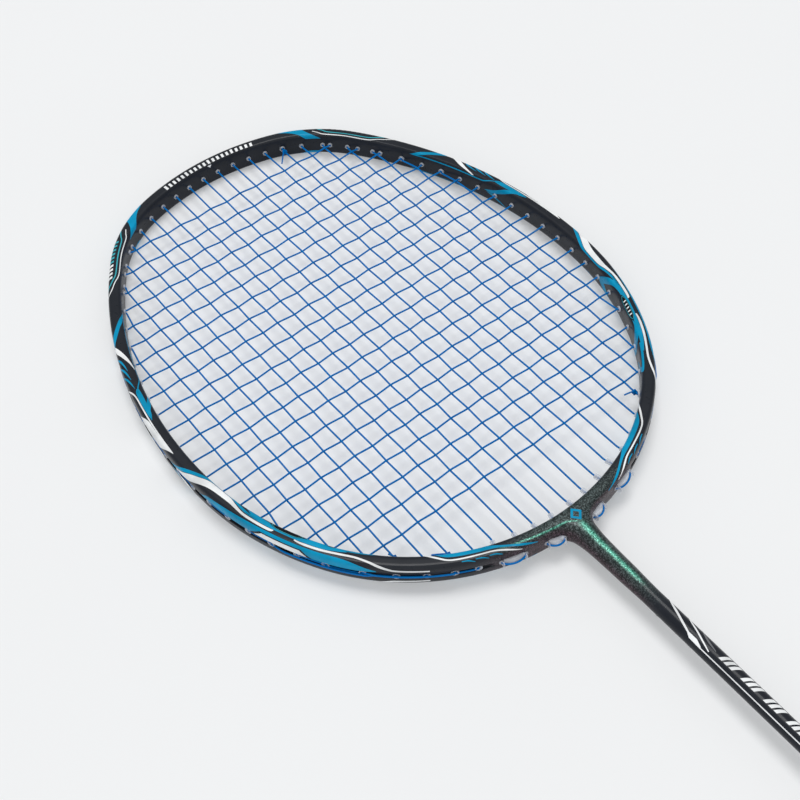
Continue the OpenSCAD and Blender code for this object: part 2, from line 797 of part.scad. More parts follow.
head_frame();
throat_moulding();
t_joint();
shaft();
cone();
handle_core();
grip_wrap();
grip_tape();
butt_cap();
butt_disc();
tip_grommets();
left_shoulder_grommets();
right_shoulder_grommets();
left_side_grommets();
right_side_grommets();
left_cheek_grommets();
right_cheek_grommets();
shared_grommets();
tie_off_grommets();
bridge_grommets();
main_string();
cross_string();
main_knots();
cross_knots();
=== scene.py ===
"""Looks of the badminton racket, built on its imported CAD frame. Lengths are in mm until a mesh is made."""
import math

import bmesh
import bpy
import numpy as np
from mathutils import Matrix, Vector


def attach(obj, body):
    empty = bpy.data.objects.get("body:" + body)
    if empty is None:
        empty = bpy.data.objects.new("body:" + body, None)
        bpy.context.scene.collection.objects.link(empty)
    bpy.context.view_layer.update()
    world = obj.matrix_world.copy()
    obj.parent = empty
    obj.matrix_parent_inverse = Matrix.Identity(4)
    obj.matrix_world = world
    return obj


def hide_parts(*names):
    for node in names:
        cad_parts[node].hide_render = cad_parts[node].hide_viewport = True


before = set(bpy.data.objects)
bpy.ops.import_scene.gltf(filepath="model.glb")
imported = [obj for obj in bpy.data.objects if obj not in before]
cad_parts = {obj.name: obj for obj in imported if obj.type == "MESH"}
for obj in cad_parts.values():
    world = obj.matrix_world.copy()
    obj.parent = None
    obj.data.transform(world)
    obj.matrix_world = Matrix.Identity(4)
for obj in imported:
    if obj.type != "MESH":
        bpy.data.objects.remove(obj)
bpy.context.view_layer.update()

MM = 0.001
scene = bpy.context.scene

# ---------------- camera

cam_data = bpy.data.cameras.new("camera")
cam_data.sensor_width = 36
cam_data.lens = 57.67        # like the place and the turn below, from a camera fitted to the string bed
cam = bpy.data.objects.new("camera", cam_data)
scene.collection.objects.link(cam)
cam.location = (-0.19574, 0.23964, 0.40524)
cam.rotation_euler = [math.radians(a) for a in (38.308, 2.646, -37.803)]
scene.camera = cam

# ---------------- the racket's outline, as in the CAD

OVERALL, BED = 675.0, 124.0
HALF_W, HALF_H, SQUARE = 2.8, 5.65, 3.2
SKIN_W, SKIN_SQUARE = 2.95, 4.5      # the painted skin is a little fuller at the corners
GROOVE_R, GROOVE_STOP = 1.9, 21.0
ARC_R = [107.0, 63.0, 188.0, 126.0]
ARC_A = [0.0, 17.5, 54.5, 95.0, 120.5, 180.0]
SHAFT_R = 3.5


def unit2(a):
    return np.array([math.sin(math.radians(a)), math.cos(math.radians(a))])


CENTRES = [np.array([0.0, OVERALL - HALF_W - ARC_R[0]])]
for k in range(1, 4):
    CENTRES.append(CENTRES[-1] + (ARC_R[k - 1] - ARC_R[k]) * unit2(ARC_A[k]))
ARC_R.append(ARC_R[3] + CENTRES[3][0] / math.sin(math.radians(ARC_A[4])))
CENTRES.append(CENTRES[3] + (ARC_R[3] - ARC_R[4]) * unit2(ARC_A[4]))
ARC_S = [0.0]
for k in range(5):
    ARC_S.append(ARC_S[-1] + ARC_R[k] * math.radians(ARC_A[k + 1] - ARC_A[k]))
HALF_S = ARC_S[5]           # half the hoop's length, from the tip to the throat
THROAT_Y = CENTRES[4][1] - ARC_R[4]


def arc_of(a):
    return max(i for i in range(5) if ARC_A[i] <= a or i == 0)


def hoop_angle(a, out=0.0):
    """Point on the hoop at angle a from the tip, moved outwards."""
    k = arc_of(a)
    return CENTRES[k] + (ARC_R[k] + out) * unit2(a)


def hoop_s(s):
    """Points and outward directions at signed distances s from the tip; positive is +X."""
    s = np.asarray(s, float)
    side = np.where(s < 0, -1.0, 1.0)
    a = np.minimum(np.abs(s), HALF_S)
    k = np.clip(np.searchsorted(ARC_S, a, side="right") - 1, 0, 4)
    angle = np.radians(np.array(ARC_A)[k]) + (a - np.array(ARC_S)[k]) / np.array(ARC_R)[k]
    n = np.stack([np.sin(angle), np.cos(angle)], -1)
    p = np.array(CENTRES)[k] + np.array(ARC_R)[k][..., None] * n
    flip = np.stack([side, np.ones_like(side)], -1)
    return p * flip, n * flip


def s_of_angle(a):
    k = arc_of(a)
    return ARC_S[k] + ARC_R[k] * math.radians(a - ARC_A[k])


def superellipse(a, w, h, power):
    """Points of a rounded rectangle at angles a."""
    c, s = np.cos(a), np.sin(a)
    return w * np.sign(c) * np.abs(c) ** (2 / power), h * np.sign(s) * np.abs(s) ** (2 / power)


# Distance round the frame's section: 0 on top, positive outwards, negative inwards
ROUND_W, ROUND_Z = superellipse(np.radians(90) - np.linspace(0, 2 * np.pi, 4001), SKIN_W, HALF_H, SKIN_SQUARE)
ROUND_D = np.concatenate([[0], np.cumsum(np.hypot(np.diff(ROUND_W), np.diff(ROUND_Z)))])
ROUND = ROUND_D[-1]
MIDDLE = ROUND / 4           # from the top centre to the middle of a side
CHART = 7.31                 # the same distance on the chart that the graphics are drawn on


def section(v):
    """Point (w, z) of the frame's section at v, and its outward normal."""
    def there(v):
        return np.interp(v % ROUND, ROUND_D, ROUND_W), np.interp(v % ROUND, ROUND_D, ROUND_Z)

    v = np.asarray(v, float)
    step = 0.03
    w, z = there(v)
    w0, z0 = there(v - step)
    w1, z1 = there(v + step)
    length = np.hypot(w1 - w0, z1 - z0)
    return w, z, -(z1 - z0) / length, (w1 - w0) / length


def swept(s, w, z):
    """Points that lie w outwards and z up from the hoop's line at s."""
    p, n = hoop_s(s)
    x = p[..., 0] + n[..., 0] * w
    return np.stack([x, p[..., 1] + n[..., 1] * w, np.broadcast_to(z, x.shape)], -1)


def skin(s, v, lift):
    """A point on the frame's surface, lifted off it."""
    w, z, nw, nz = section(v)
    return swept(s, w + lift * nw, z + lift * nz)


def circle(count):
    """Evenly spaced angles of one turn."""
    return np.linspace(0, 2 * np.pi, count, endpoint=False)


def ease(u):
    u = np.clip(u, 0, 1)
    return u * u * (3 - 2 * u)


# ---------------- meshes

def set_points(mesh, attributes):
    """Store point attributes for the paint's nodes to read."""
    for key, values in attributes.items():
        layer = mesh.attributes.new(key, "FLOAT", "POINT")
        layer.data.foreach_set("value", np.asarray(values, np.float32))


def new_mesh(name, verts, faces, material, slot=None, replaces=(), attributes=None, smooth=True):
    mesh = bpy.data.meshes.new(name)
    points = [tuple(float(c) * MM for c in v) for v in verts]
    mesh.from_pydata(points, [], [tuple(int(i) for i in f) for f in faces])
    mesh.update()
    ob = bpy.data.objects.new(name, mesh)
    scene.collection.objects.link(ob)
    mesh.materials.append(material)
    if smooth:
        mesh.polygons.foreach_set("use_smooth", [True] * len(mesh.polygons))
    set_points(mesh, attributes or {})
    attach(ob, "root")
    if replaces:
        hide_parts(*replaces)
    return ob


class Soup:
    """Collects vertices and faces of many pieces into one mesh."""

    def __init__(self):
        self.v, self.f, self.uv = [], [], []

    def grid(self, rows, wrap=False, flip=False, uv=None):
        """rows: array (m, n, 3). wrap joins the last column to the first."""
        rows = np.asarray(rows, float)
        m, n, _ = rows.shape
        base = len(self.v)
        self.v.extend(rows.reshape(-1, 3))
        for i in range(m - 1):
            for j in range(n if wrap else n - 1):
                a, b = base + i * n + j, base + i * n + (j + 1) % n
                c, d = b + n, a + n
                self.f.append((a, d, c, b) if flip else (a, b, c, d))
                if uv is not None:
                    u0, u1, w0, w1 = uv[i], uv[i + 1], j / n, (j + 1) / n
                    q = [(u0, w0), (u0, w1), (u1, w1), (u1, w0)]
                    self.uv.append([q[0], q[3], q[2], q[1]] if flip else q)

    def fan(self, ring, centre, flip=False):
        base = len(self.v)
        self.v.extend(ring)
        self.v.append(centre)
        n = len(ring)
        for j in range(n):
            t = (base + j, base + (j + 1) % n, base + n)
            self.f.append(t[::-1] if flip else t)

    def make(self, name, material, **more):
        ob = new_mesh(name, self.v, self.f, material, **more)
        if self.uv:
            layer = ob.data.uv_layers.new(name="fibre")
            flat = [c for q in self.uv for p in q for c in p]
            layer.data.foreach_set("uv", flat)
        return ob


def frame_at(d):
    """Two directions square to d, the first level."""
    d = d / np.linalg.norm(d)
    u = np.cross([0.0, 0, 1], d)
    u = u / np.linalg.norm(u) if np.linalg.norm(u) > 1e-6 else np.array([1.0, 0, 0])
    return u, np.cross(d, u)


def lathe(soup, origin, axis, profile, sides=24):
    """Turn (distance along axis, radius) points round an axis."""
    axis = np.asarray(axis, float) / np.linalg.norm(axis)
    u, v = frame_at(axis)
    a = circle(sides)
    ring = np.cos(a)[:, None] * u + np.sin(a)[:, None] * v
    rows = [np.asarray(origin) + axis * t + ring * r for t, r in profile]
    soup.grid(rows, wrap=True)


def rounded(path, trim=1.2, steps=4):
    """Polyline with its corners rounded."""
    path = np.asarray(path, float)
    out = [path[0]]
    for p, q, r in zip(path[:-2], path[1:-1], path[2:]):
        a, b = np.linalg.norm(q - p), np.linalg.norm(r - q)
        t = min(trim, 0.48 * a, 0.48 * b)
        s, e = q + (p - q) * t / a, q + (r - q) * t / b
        for k in range(steps + 1):
            w = k / steps
            out.append((1 - w) ** 2 * s + 2 * w * (1 - w) * q + w * w * e)
    out.append(path[-1])
    return np.array(out)


def tube(soup, path, radius, sides=12):
    """A round bar along a path, with a shallow point at each end."""
    path = np.asarray(path, float)
    d = np.gradient(path, axis=0)
    d /= np.linalg.norm(d, axis=1)[:, None]
    a = circle(sides)
    rows = []
    for p, t in zip(path, d):
        u, v = frame_at(t)
        rows.append(p + radius * (np.cos(a)[:, None] * u + np.sin(a)[:, None] * v))
    along = np.concatenate([[0], np.cumsum(np.linalg.norm(np.diff(path, axis=0), axis=1))])
    soup.grid(rows, wrap=True, uv=along)
    for end, out in ((0, -1), (-1, 1)):
        soup.fan(rows[end], path[end] + out * d[end] * radius * 0.4, flip=out < 0)
        soup.uv += [[(0, 0)] * 3] * sides


# ---------------- materials

class Nodes:
    """Small helper to build a node tree."""

    def __init__(self, name):
        self.mat = bpy.data.materials.new(name)
        self.mat.use_nodes = True
        self.tree = self.mat.node_tree
        self.bsdf = self.tree.nodes["Principled BSDF"]

    def set(self, **values):
        for key, value in values.items():
            self.bsdf.inputs[key.replace("_", " ")].default_value = value

    def node(self, kind, inputs=None, **props):
        n = self.tree.nodes.new(kind)
        for key, value in props.items():
            setattr(n, key, value)
        for key, value in (inputs or {}).items():
            if isinstance(value, bpy.types.NodeSocket):
                self.tree.links.new(value, n.inputs[key])
            else:
                n.inputs[key].default_value = value
        return n

    def place(self):
        return self.node("ShaderNodeTexCoord").outputs["Object"]

    def noise(self, scale, detail=3.0, rough=0.55, vector=None):
        inputs = {"Vector": vector or self.place(), "Scale": scale, "Detail": detail, "Roughness": rough}
        return self.node("ShaderNodeTexNoise", inputs).outputs["Fac"]

    def cells(self, scale):
        return self.node("ShaderNodeTexVoronoi", {"Vector": self.place(), "Scale": scale}).outputs

    def ramp(self, fac, *stops):
        n = self.node("ShaderNodeValToRGB", {"Fac": fac})
        e = n.color_ramp.elements
        while len(e) < len(stops):
            e.new(0.5)
        for item, (pos, col) in zip(e, stops):
            item.position, item.color = pos, (*col, 1) if len(col) == 3 else col
        return n.outputs["Color"]

    def grey(self, fac, a, b, x=0.0, y=1.0):
        return self.ramp(fac, (x, (a, a, a)), (y, (b, b, b)))

    def maths(self, op, a, b=0.0):
        return self.node("ShaderNodeMath", {0: a, 1: b}, operation=op).outputs[0]

    def mix(self, fac, a, b):
        return self.node("ShaderNodeMix", {0: fac, 6: a, 7: b}, data_type="RGBA").outputs[2]

    def link(self, out, name):
        self.tree.links.new(out, self.bsdf.inputs[name])

    def colour(self, scale, detail, dark, light):
        self.link(self.ramp(self.noise(scale, detail), (0.3, dark), (0.7, light)), "Base Color")

    def rough(self, scale, detail, low, high):
        self.link(self.grey(self.noise(scale, detail), low, high, 0.3, 0.7), "Roughness")

    def bumpy(self, scale, detail, strength, distance):
        self.link(self.bump(self.noise(scale, detail), strength, distance), "Normal")

    def bump(self, height, strength, distance, then=None):
        n = self.node("ShaderNodeBump", {"Height": height, "Strength": strength, "Distance": distance})
        if then:
            self.tree.links.new(then, n.inputs["Normal"])
        return n.outputs["Normal"]

    def attribute(self, name):
        return self.node("ShaderNodeAttribute", attribute_name=name).outputs["Fac"]


def paint(name, colour, rough=0.3):
    """Gloss paint under clear coat, with a little unevenness."""
    m = Nodes(name)
    dark = tuple(c * 0.78 for c in colour)
    light = tuple(min(1, c * 1.12 + 0.002) for c in colour)
    m.colour(90, 4, dark, light)
    m.rough(420, 3, rough - 0.06, rough + 0.1)
    m.bumpy(900, 2, 0.05, 0.0001)
    m.set(Coat_Weight=0.04, Coat_Roughness=0.06, Specular_IOR_Level=0.08)
    return m.mat


def frame_paint():
    """Black paint that turns to colour-shifting metal flake near the throat. The flake's green-grey tops and
    purple-brown sides are painted by which way the surface faces, and its green crown band and edge line are
    painted highlights.
    """
    m = Nodes("frame_paint")
    zone, glow, line = m.attribute("flake"), m.attribute("glow"), m.attribute("line")
    up = m.node("ShaderNodeSeparateXYZ", {0: m.node("ShaderNodeTexCoord").outputs["Normal"]}).outputs["Z"]
    up = m.maths("ABSOLUTE", up)
    cell = m.node("ShaderNodeSeparateColor", {0: m.cells(2600)["Color"]}).outputs
    spark, spark2 = cell["Red"], cell["Green"]
    # painted light: faces turned up get lighter green-grey colours and sides darker purple-brown ones,
    # standing in for the flake's change of colour with the light's angle
    base = m.ramp(up, (0.25, (0.018, 0.0115, 0.014)), (0.85, (0.016, 0.023, 0.023)))
    fleck = m.ramp(up, (0.25, (0.115, 0.075, 0.095)), (0.85, (0.105, 0.135, 0.135)))
    flaked = m.mix(m.grey(spark, 0.0, 1.0, 0.4, 1.0), base, fleck)
    # painted highlight: bright green flake colour for the crown band and the thin line on the left arm's edge
    highlight_green = m.mix(m.grey(spark2, 0.0, 1.0, 0.35, 1.0), (0.010, 0.15, 0.095, 1), (0.24, 0.73, 0.57, 1))
    highlight_line_mask = m.grey(m.maths("ABSOLUTE", line), 0.75, 0.0, 0.1, 0.55)
    flaked = m.mix(m.maths("MAXIMUM", glow, highlight_line_mask), flaked, highlight_green)
    plain = m.ramp(m.noise(70, 4), (0.3, (0.0125, 0.0150, 0.0205)), (0.7, (0.0175, 0.0205, 0.0270)))
    m.link(m.mix(zone, plain, flaked), "Base Color")
    m.link(m.maths("MULTIPLY", m.maths("MULTIPLY", zone, spark), 0.35), "Metallic")
    m.rough(500, 3, 0.26, 0.36)
    orange = m.bump(m.noise(700, 2), 0.05, 0.0001)
    m.link(m.bump(m.maths("MULTIPLY", spark, zone), 0.2, 0.00004, orange), "Normal")
    m.set(Coat_Weight=0.08, Coat_Roughness=0.05, Specular_IOR_Level=0.13)
    return m.mat


def string_material():
    m = Nodes("string")
    uv = m.node("ShaderNodeUVMap", uv_map="fibre").outputs["UV"]
    xy = m.node("ShaderNodeSeparateXYZ", {0: uv})
    along, across = [m.maths("MULTIPLY", xy.outputs[k], times) for k, times in (("X", 1.1), ("Y", 3.0))]
    turn = m.maths("ADD", along, across)
    wave = m.maths("SINE", m.maths("MULTIPLY", turn, 6.28318))
    band = m.grey(m.maths("ADD", m.maths("MULTIPLY", wave, 0.5), 0.5), 0.0, 1.0)
    col = m.mix(m.grey(m.noise(160, 3), 0.2, 0.9, 0.3, 0.7), (0.0, 0.115, 0.38, 1), (0.0, 0.155, 0.48, 1))
    # the twist band is the string's own texture; the lighter blue mixed along it is a painted highlight on
    # each twist's ridge
    m.link(m.mix(m.maths("MULTIPLY", band, 0.2), col, (0.0, 0.20, 0.54, 1)), "Base Color")
    m.rough(800, 2, 0.3, 0.42)
    m.link(m.bump(band, 0.3, 0.00003), "Normal")
    m.set(Specular_IOR_Level=0.05)
    return m.mat


def clear_nylon():
    m = Nodes("clear_nylon")
    m.colour(300, 3, (0.74, 0.79, 0.88), (0.84, 0.88, 0.94))
    m.rough(600, 3, 0.18, 0.34)
    m.bumpy(600, 2, 0.03, 0.00005)
    m.set(IOR=1.5, Alpha=0.42)
    return m.mat


def grip_material():
    m = Nodes("grip")
    m.colour(60, 4, (0.014, 0.014, 0.016), (0.026, 0.026, 0.029))
    m.rough(250, 4, 0.52, 0.7)
    leather = m.cells(1500)["Distance"]
    m.link(m.bump(leather, 0.25, 0.0001, m.bump(m.noise(350, 3), 0.3, 0.0002)), "Normal")
    m.set(IOR=1.45, Sheen_Weight=0.15)
    return m.mat


def moulded(name, colour, rough=0.42):
    m = Nodes(name)
    m.colour(80, 4, tuple(c * 0.8 for c in colour), colour)
    m.rough(300, 3, rough - 0.05, rough + 0.08)
    m.bumpy(1400, 3, 0.15, 0.00006)
    m.set(IOR=1.5)
    return m.mat


def wood():
    m = Nodes("handle_wood")
    stretched = m.node("ShaderNodeMapping", {"Vector": m.place(), "Scale": (1, 0.06, 1)}).outputs["Vector"]
    grain = m.noise(420, 5, 0.6, stretched)
    m.link(m.ramp(grain, (0.3, (0.36, 0.21, 0.10)), (0.7, (0.58, 0.39, 0.21))), "Base Color")
    m.link(m.bump(grain, 0.2, 0.0001), "Normal")
    m.set(Roughness=0.6)
    return m.mat


def metal(name):
    m = Nodes(name)
    m.link(m.grey(m.noise(200, 3), 0.5, 0.66, 0.3, 0.7), "Base Color")
    m.rough(500, 3, 0.28, 0.42)
    m.set(Metallic=1.0)
    return m.mat


BLACK = frame_paint()
WHITE = paint("white_paint", (0.84, 0.86, 0.87))
CYAN = paint("cyan_paint", (0.0, 0.285, 0.51))
TEAL = paint("teal_paint", (0.05, 0.42, 0.50))
INK = paint("ink_paint", (0.006, 0.0065, 0.0075))
GREY = paint("grey_paint", (0.16, 0.165, 0.175))
STRING = string_material()
CLEAR = clear_nylon()
GRIP = grip_material()
PLASTIC = moulded("satin_black", (0.02, 0.02, 0.023))
CONE = moulded("cone_black", (0.016, 0.016, 0.018), 0.3)
TAPE = moulded("tape_black", (0.035, 0.035, 0.04), 0.36)
DISC = moulded("disc_blue", (0.0, 0.2, 0.42), 0.25)
# painted shade: dark discs that stand for the shade inside the grip's holes
HOLE_SHADE = moulded("hole_shadow", (0.003, 0.003, 0.0035), 0.8)

# ---------------- the hoop

T_START = 329.0             # distance from the tip at which the moulded throat takes over
FLAKE_FROM, FLAKE_TO = 318.0, 338.0
FLAKE_LEAN = 12.0           # the flake starts this much later on the inside of the hoop
NO_HIGHLIGHT_LINE = 9.0               # a distance from the painted highlight line that is too far to show it


def flake_on_hoop(s, w):
    """How far the paint has turned to flake at s, w outwards."""
    late = FLAKE_LEAN * (1 - ease((w / HALF_W + 1) / 2))
    return ease((s - FLAKE_FROM - late) / (FLAKE_TO - FLAKE_FROM))


def no_painted_highlight(flake):
    """Point attributes of a skin that only has flake and no painted highlight."""
    return {"flake": flake, "glow": np.zeros(len(flake)), "line": np.full(len(flake), NO_HIGHLIGHT_LINE)}


def hoop():
    """The hoop's skin: each section point is (w with the groove, z, w without it)."""
    def on_skin(first, last):
        w, z, _, _ = section(np.concatenate([first, last]))
        return list(zip(w, z, w))

    outer = on_skin(np.linspace(0, 4.6, 21), np.linspace(4.9, MIDDLE - 1.31, 4))
    groove = ((2.87, 1.24), (2.6, 1.2), (2.1, 1.18), (1.93, 1.1), (GROOVE_R, 0.9), (GROOVE_R, 0.4))
    outer += [(w, z, outer[-1][0]) for w, z in groove]
    top = on_skin(np.linspace(-0.23, -4.6, 20), np.linspace(-4.9, -MIDDLE, 6))[::-1] + outer
    # the inner middle is on the top half only
    loop = np.array(top + [(w, -z, f) for w, z, f in top[:0:-1]])
    s = np.concatenate([-np.linspace(T_START, 0, 430), np.linspace(0, T_START, 430)[1:]])[:, None]
    depth = 1 - ease((np.abs(s) - (s_of_angle(180 - GROOVE_STOP) - 1.5)) / 3)
    w = loop[:, 2] + (loop[:, 0] - loop[:, 2]) * depth
    soup = Soup()
    soup.grid(swept(s, w, loop[:, 1]), wrap=True, flip=True)
    soup.make("hoop", BLACK, slot="frame_paint", replaces=("head_frame",),
              attributes=no_painted_highlight(flake_on_hoop(np.abs(s), w).ravel()))


hoop()

# ---------------- the moulded throat

THROAT_L, FILLET = 44.0, 6.0
FLAKE_END = 34.0            # the flake turns back to black from here to 6 mm past the throat's end
THROAT_VOXEL = 0.00032
INNER_TURNS, ALL_TURNS = 14, 2          # rounds of smoothing, near the corners and everywhere
STEM_R = SHAFT_R + 0.3


def stem_size(t):
    """Half width, half height and squareness of the throat's stem at t below the hoop."""
    fade = math.exp(-(max(t, 9) - 11.5) / 10)
    r = STEM_R + 0.8 * fade
    end = float(ease((t - 28) / (THROAT_L - 28)))
    r = r + (SHAFT_R - r) * end
    u = max(t, HALF_W)
    short = FILLET + HALF_W - u
    fillet = 0.0 if short <= 0 else FILLET - math.sqrt(max(0, FILLET ** 2 - short ** 2))
    h = r + (HALF_H - 0.1 - r) * float(ease(1 - t / 15))
    return r + fillet, h, 2 + (SQUARE - 2) * float(ease(1 - t / 13))


def flake_on_stem(t):
    """How far the flake has turned back to black at t below the throat."""
    return ease((t - FLAKE_END) / (THROAT_L + 6 - FLAKE_END))


def level_ring(y, w, h, power, n=64):
    x, z = superellipse(circle(n), w, h, power)
    return np.stack([x, np.full(n, y), z], -1)


def throat():
    """Stem and the hoop's last part, welded into one skin, with the flake and the painted highlight stored on
    its points.
    """
    soup = Soup()
    rows = [level_ring(THROAT_Y - t, *stem_size(t))
            for t in np.concatenate([np.linspace(0.2, 12, 48), np.linspace(12.5, THROAT_L, 60)])]
    soup.grid(rows, wrap=True)
    soup.fan(rows[0], np.array([0, THROAT_Y - 0.2, 0]), flip=True)
    soup.fan(rows[-1], np.array([0, THROAT_Y - THROAT_L, 0]))
    s = np.concatenate([np.linspace(T_START - 1.2, HALF_S, 60), -np.linspace(HALF_S, T_START - 1.2, 60)[1:]])
    rows = skin(s[:, None], np.linspace(0, ROUND, 72, endpoint=False)[None, :], 0.03)
    soup.grid(rows, wrap=True)
    p, _ = hoop_s(s)
    soup.fan(rows[0], np.array([*p[0], 0]), flip=True)
    soup.fan(rows[-1], np.array([*p[-1], 0]))
    ob = soup.make("throat", BLACK, slot="throat_paint", replaces=("throat_moulding",))
    # closed pieces are welded into one skin, then the inner corners are eased
    bpy.context.view_layer.objects.active = ob
    bm = bmesh.new()
    bm.from_mesh(ob.data)
    bmesh.ops.remove_doubles(bm, verts=bm.verts, dist=1e-7)
    bmesh.ops.recalc_face_normals(bm, faces=bm.faces)
    bm.to_mesh(ob.data)
    bm.free()
    remesh = ob.modifiers.new("weld", "REMESH")
    remesh.mode, remesh.voxel_size, remesh.use_smooth_shade = "VOXEL", THROAT_VOXEL, True
    mesh = bpy.data.meshes.new_from_object(ob.evaluated_get(bpy.context.evaluated_depsgraph_get()))
    ob.modifiers.clear()
    ob.data = mesh
    mesh.materials.clear()
    mesh.materials.append(BLACK)
    bm = bmesh.new()
    bm.from_mesh(mesh)
    bm.verts.ensure_lookup_table()
    co = np.array([v.co for v in bm.verts]) / MM
    t = THROAT_Y - co[:, 1]
    near = ease((t + 3.0) / 3) * (1 - ease((t - 14) / 8)) * (1 - ease((np.abs(co[:, 0]) - 13) / 4))
    soft = [v for v, q in zip(bm.verts, near) if q > 0.5]
    axes = {"use_axis_x": True, "use_axis_y": True, "use_axis_z": True}
    for verts, times in ((soft, INNER_TURNS), (bm.verts, ALL_TURNS)):
        for _ in range(times):
            bmesh.ops.smooth_vert(bm, verts=verts, factor=0.5, **axes)
    bm.to_mesh(mesh)
    bm.free()
    mesh.polygons.foreach_set("use_smooth", [True] * len(mesh.polygons))
    co = np.array([v.co for v in mesh.vertices]) / MM
    t = THROAT_Y - co[:, 1]
    ang = np.degrees(np.arctan2(co[:, 0], co[:, 2]))
    flake = 1 - flake_on_stem(t) * ease((t - 4) / 3)
    # painted highlight: a green band along the top of the stem's crown
    crown_highlight = np.exp(-((ang + 2.5) / 12) ** 2) * ease((t - 3) / 5) * (1 - ease((t - 31) / 10)) * (co[:, 2] > 0)
    # the crown's painted green highlight turns into a painted highlight line along the outer edge of the left
    # arm
    s = np.abs(np.degrees(np.arctan2(co[:, 0], co[:, 1] - CENTRES[4][1])))
    rim = np.hypot(co[:, 0], co[:, 1] - CENTRES[4][1]) - ARC_R[4]
    ax = np.abs(co[:, 0])
    # line: each point's distance from a painted highlight line along the left arm's outer edge
    line = rim - (0.4 + 0.06 * (31 - ax) + 2.4 * np.exp(-(ax / 2.8) ** 2))
    away = (co[:, 0] > -0.3) | (co[:, 2] < 3.0) | (t > 4.5)
    line = np.where(away, NO_HIGHLIGHT_LINE, line)
    arc = HALF_S - ARC_R[4] * np.radians(180 - s)
    flake = np.where(t < 6, flake_on_hoop(arc, rim), flake)
    set_points(mesh, {"flake": flake, "glow": crown_highlight, "line": line})
    return ob


throat_mesh = throat()


def shaft():
    soup = Soup()
    ys = np.concatenate([np.linspace(100, 372, 90), np.linspace(374, THROAT_Y - 14, 12)])
    soup.grid([level_ring(y, SHAFT_R, SHAFT_R, 2) for y in ys], wrap=True, flip=True)
    flake = np.repeat(1 - flake_on_stem(THROAT_Y - ys), 64)
    soup.make("shaft_tube", BLACK, slot="shaft_paint", replaces=("shaft",), attributes=no_painted_highlight(flake))


shaft()

# ---------------- painted graphics

FILM = 0.035


def smooth_rail(points, count):
    """Resample a drawn rail with a Catmull-Rom spline."""
    p = np.asarray(points, float)
    if len(p) == 2:
        return p[0] + (p[1] - p[0]) * np.linspace(0, 1, count)[:, None]
    q = np.vstack([2 * p[0] - p[1], p, 2 * p[-1] - p[-2]])
    length = np.concatenate([[0], np.cumsum(np.linalg.norm(np.diff(p, axis=0), axis=1) ** 0.7)])
    at = np.linspace(0, length[-1], count)
    out = []
    for x in at:
        k = min(int(np.searchsorted(length, x, side="right")) - 1, len(p) - 2)
        u = (x - length[k]) / (length[k + 1] - length[k])
        a, b, c, d = q[k], q[k + 1], q[k + 2], q[k + 3]
        curve = (2 * b) + (c - a) * u + (2 * a - 5 * b + 4 * c - d) * u * u + (3 * b - a - 3 * c + d) * u ** 3
        out.append(0.5 * curve)
    return np.array(out)


def patch(a, b, sharp=False):
    """Grid between two rails, as (rows, columns, 2)."""
    def sharp_rail(points, count):
        at = np.linspace(0, len(points) - 1, count)
        return np.array([np.interp(at, range(len(points)), [p[i] for p in points]) for i in (0, 1)]).T

    ra, rb = [(sharp_rail if sharp else smooth_rail)(rail, 60) for rail in (a, b)]
    wide = np.linalg.norm(ra - rb, axis=1).max()
    m = max(3, int(wide / 0.35) + 2)
    t = np.linspace(0, 1, m)[None, :, None]
    return ra[:, None, :] * (1 - t) + rb[:, None, :] * t


def stroke(points, width):
    """Line of a given width, or of widths spread along it."""
    p = np.asarray(points, float)
    count = max(24, int(np.linalg.norm(np.diff(p, axis=0), axis=1).sum() / 0.8))
    c = smooth_rail(p, count)
    d = np.gradient(c, axis=0)
    d /= np.linalg.norm(d, axis=1)[:, None] + 1e-9
    n = np.stack([-d[:, 1], d[:, 0]], -1)
    if np.ndim(width):
        w = np.interp(np.linspace(0, 1, count), np.linspace(0, 1, len(width)), width)
    else:
        w = np.full(count, float(width))
    t = np.linspace(-0.5, 0.5, 4)[None, :, None]
    return c[:, None, :] + n[:, None, :] * w[:, None, None] * t


def bar(u, v0, v1, width, lean=0.0):
    """Straight bar across the chart at u, from v0 to v1."""
    return patch(*[[(u + d, v0), (u + d + lean, v1)] for d in (-width / 2, width / 2)])


LAYERS = {}


def on_frame(colour, grid, level=0, sides=(-1, 1), faces=(1, -1)):
    """Put a flat (s, v) grid on the frame's skin."""
    soup = LAYERS.setdefault((colour, "frame"), Soup())
    g = np.array(grid)
    v = g[..., 1]
    v = v + np.sign(v) * (MIDDLE - CHART) * ease((np.abs(v) - 2) / 3)
    g[..., 1] = np.clip(v, -MIDDLE, MIDDLE - 1.33)
    for side in sides:
        for face in faces:
            lift = FILM + 0.012 * level + 0.04 * ease((g[..., 0] - T_START + 3) / 3)
            pts = skin(side * g[..., 0], g[..., 1], lift)
            pts[..., 2] *= face
            soup.grid(pts, flip=(side * face > 0) == (facing(g) > 0))


def facing(g):
    """1 or -1: which way round a flat grid runs."""
    a, b = g[1:, :-1] - g[:-1, :-1], g[:-1, 1:] - g[:-1, :-1]
    return np.sign((a[..., 0] * b[..., 1] - a[..., 1] * b[..., 0]).sum())


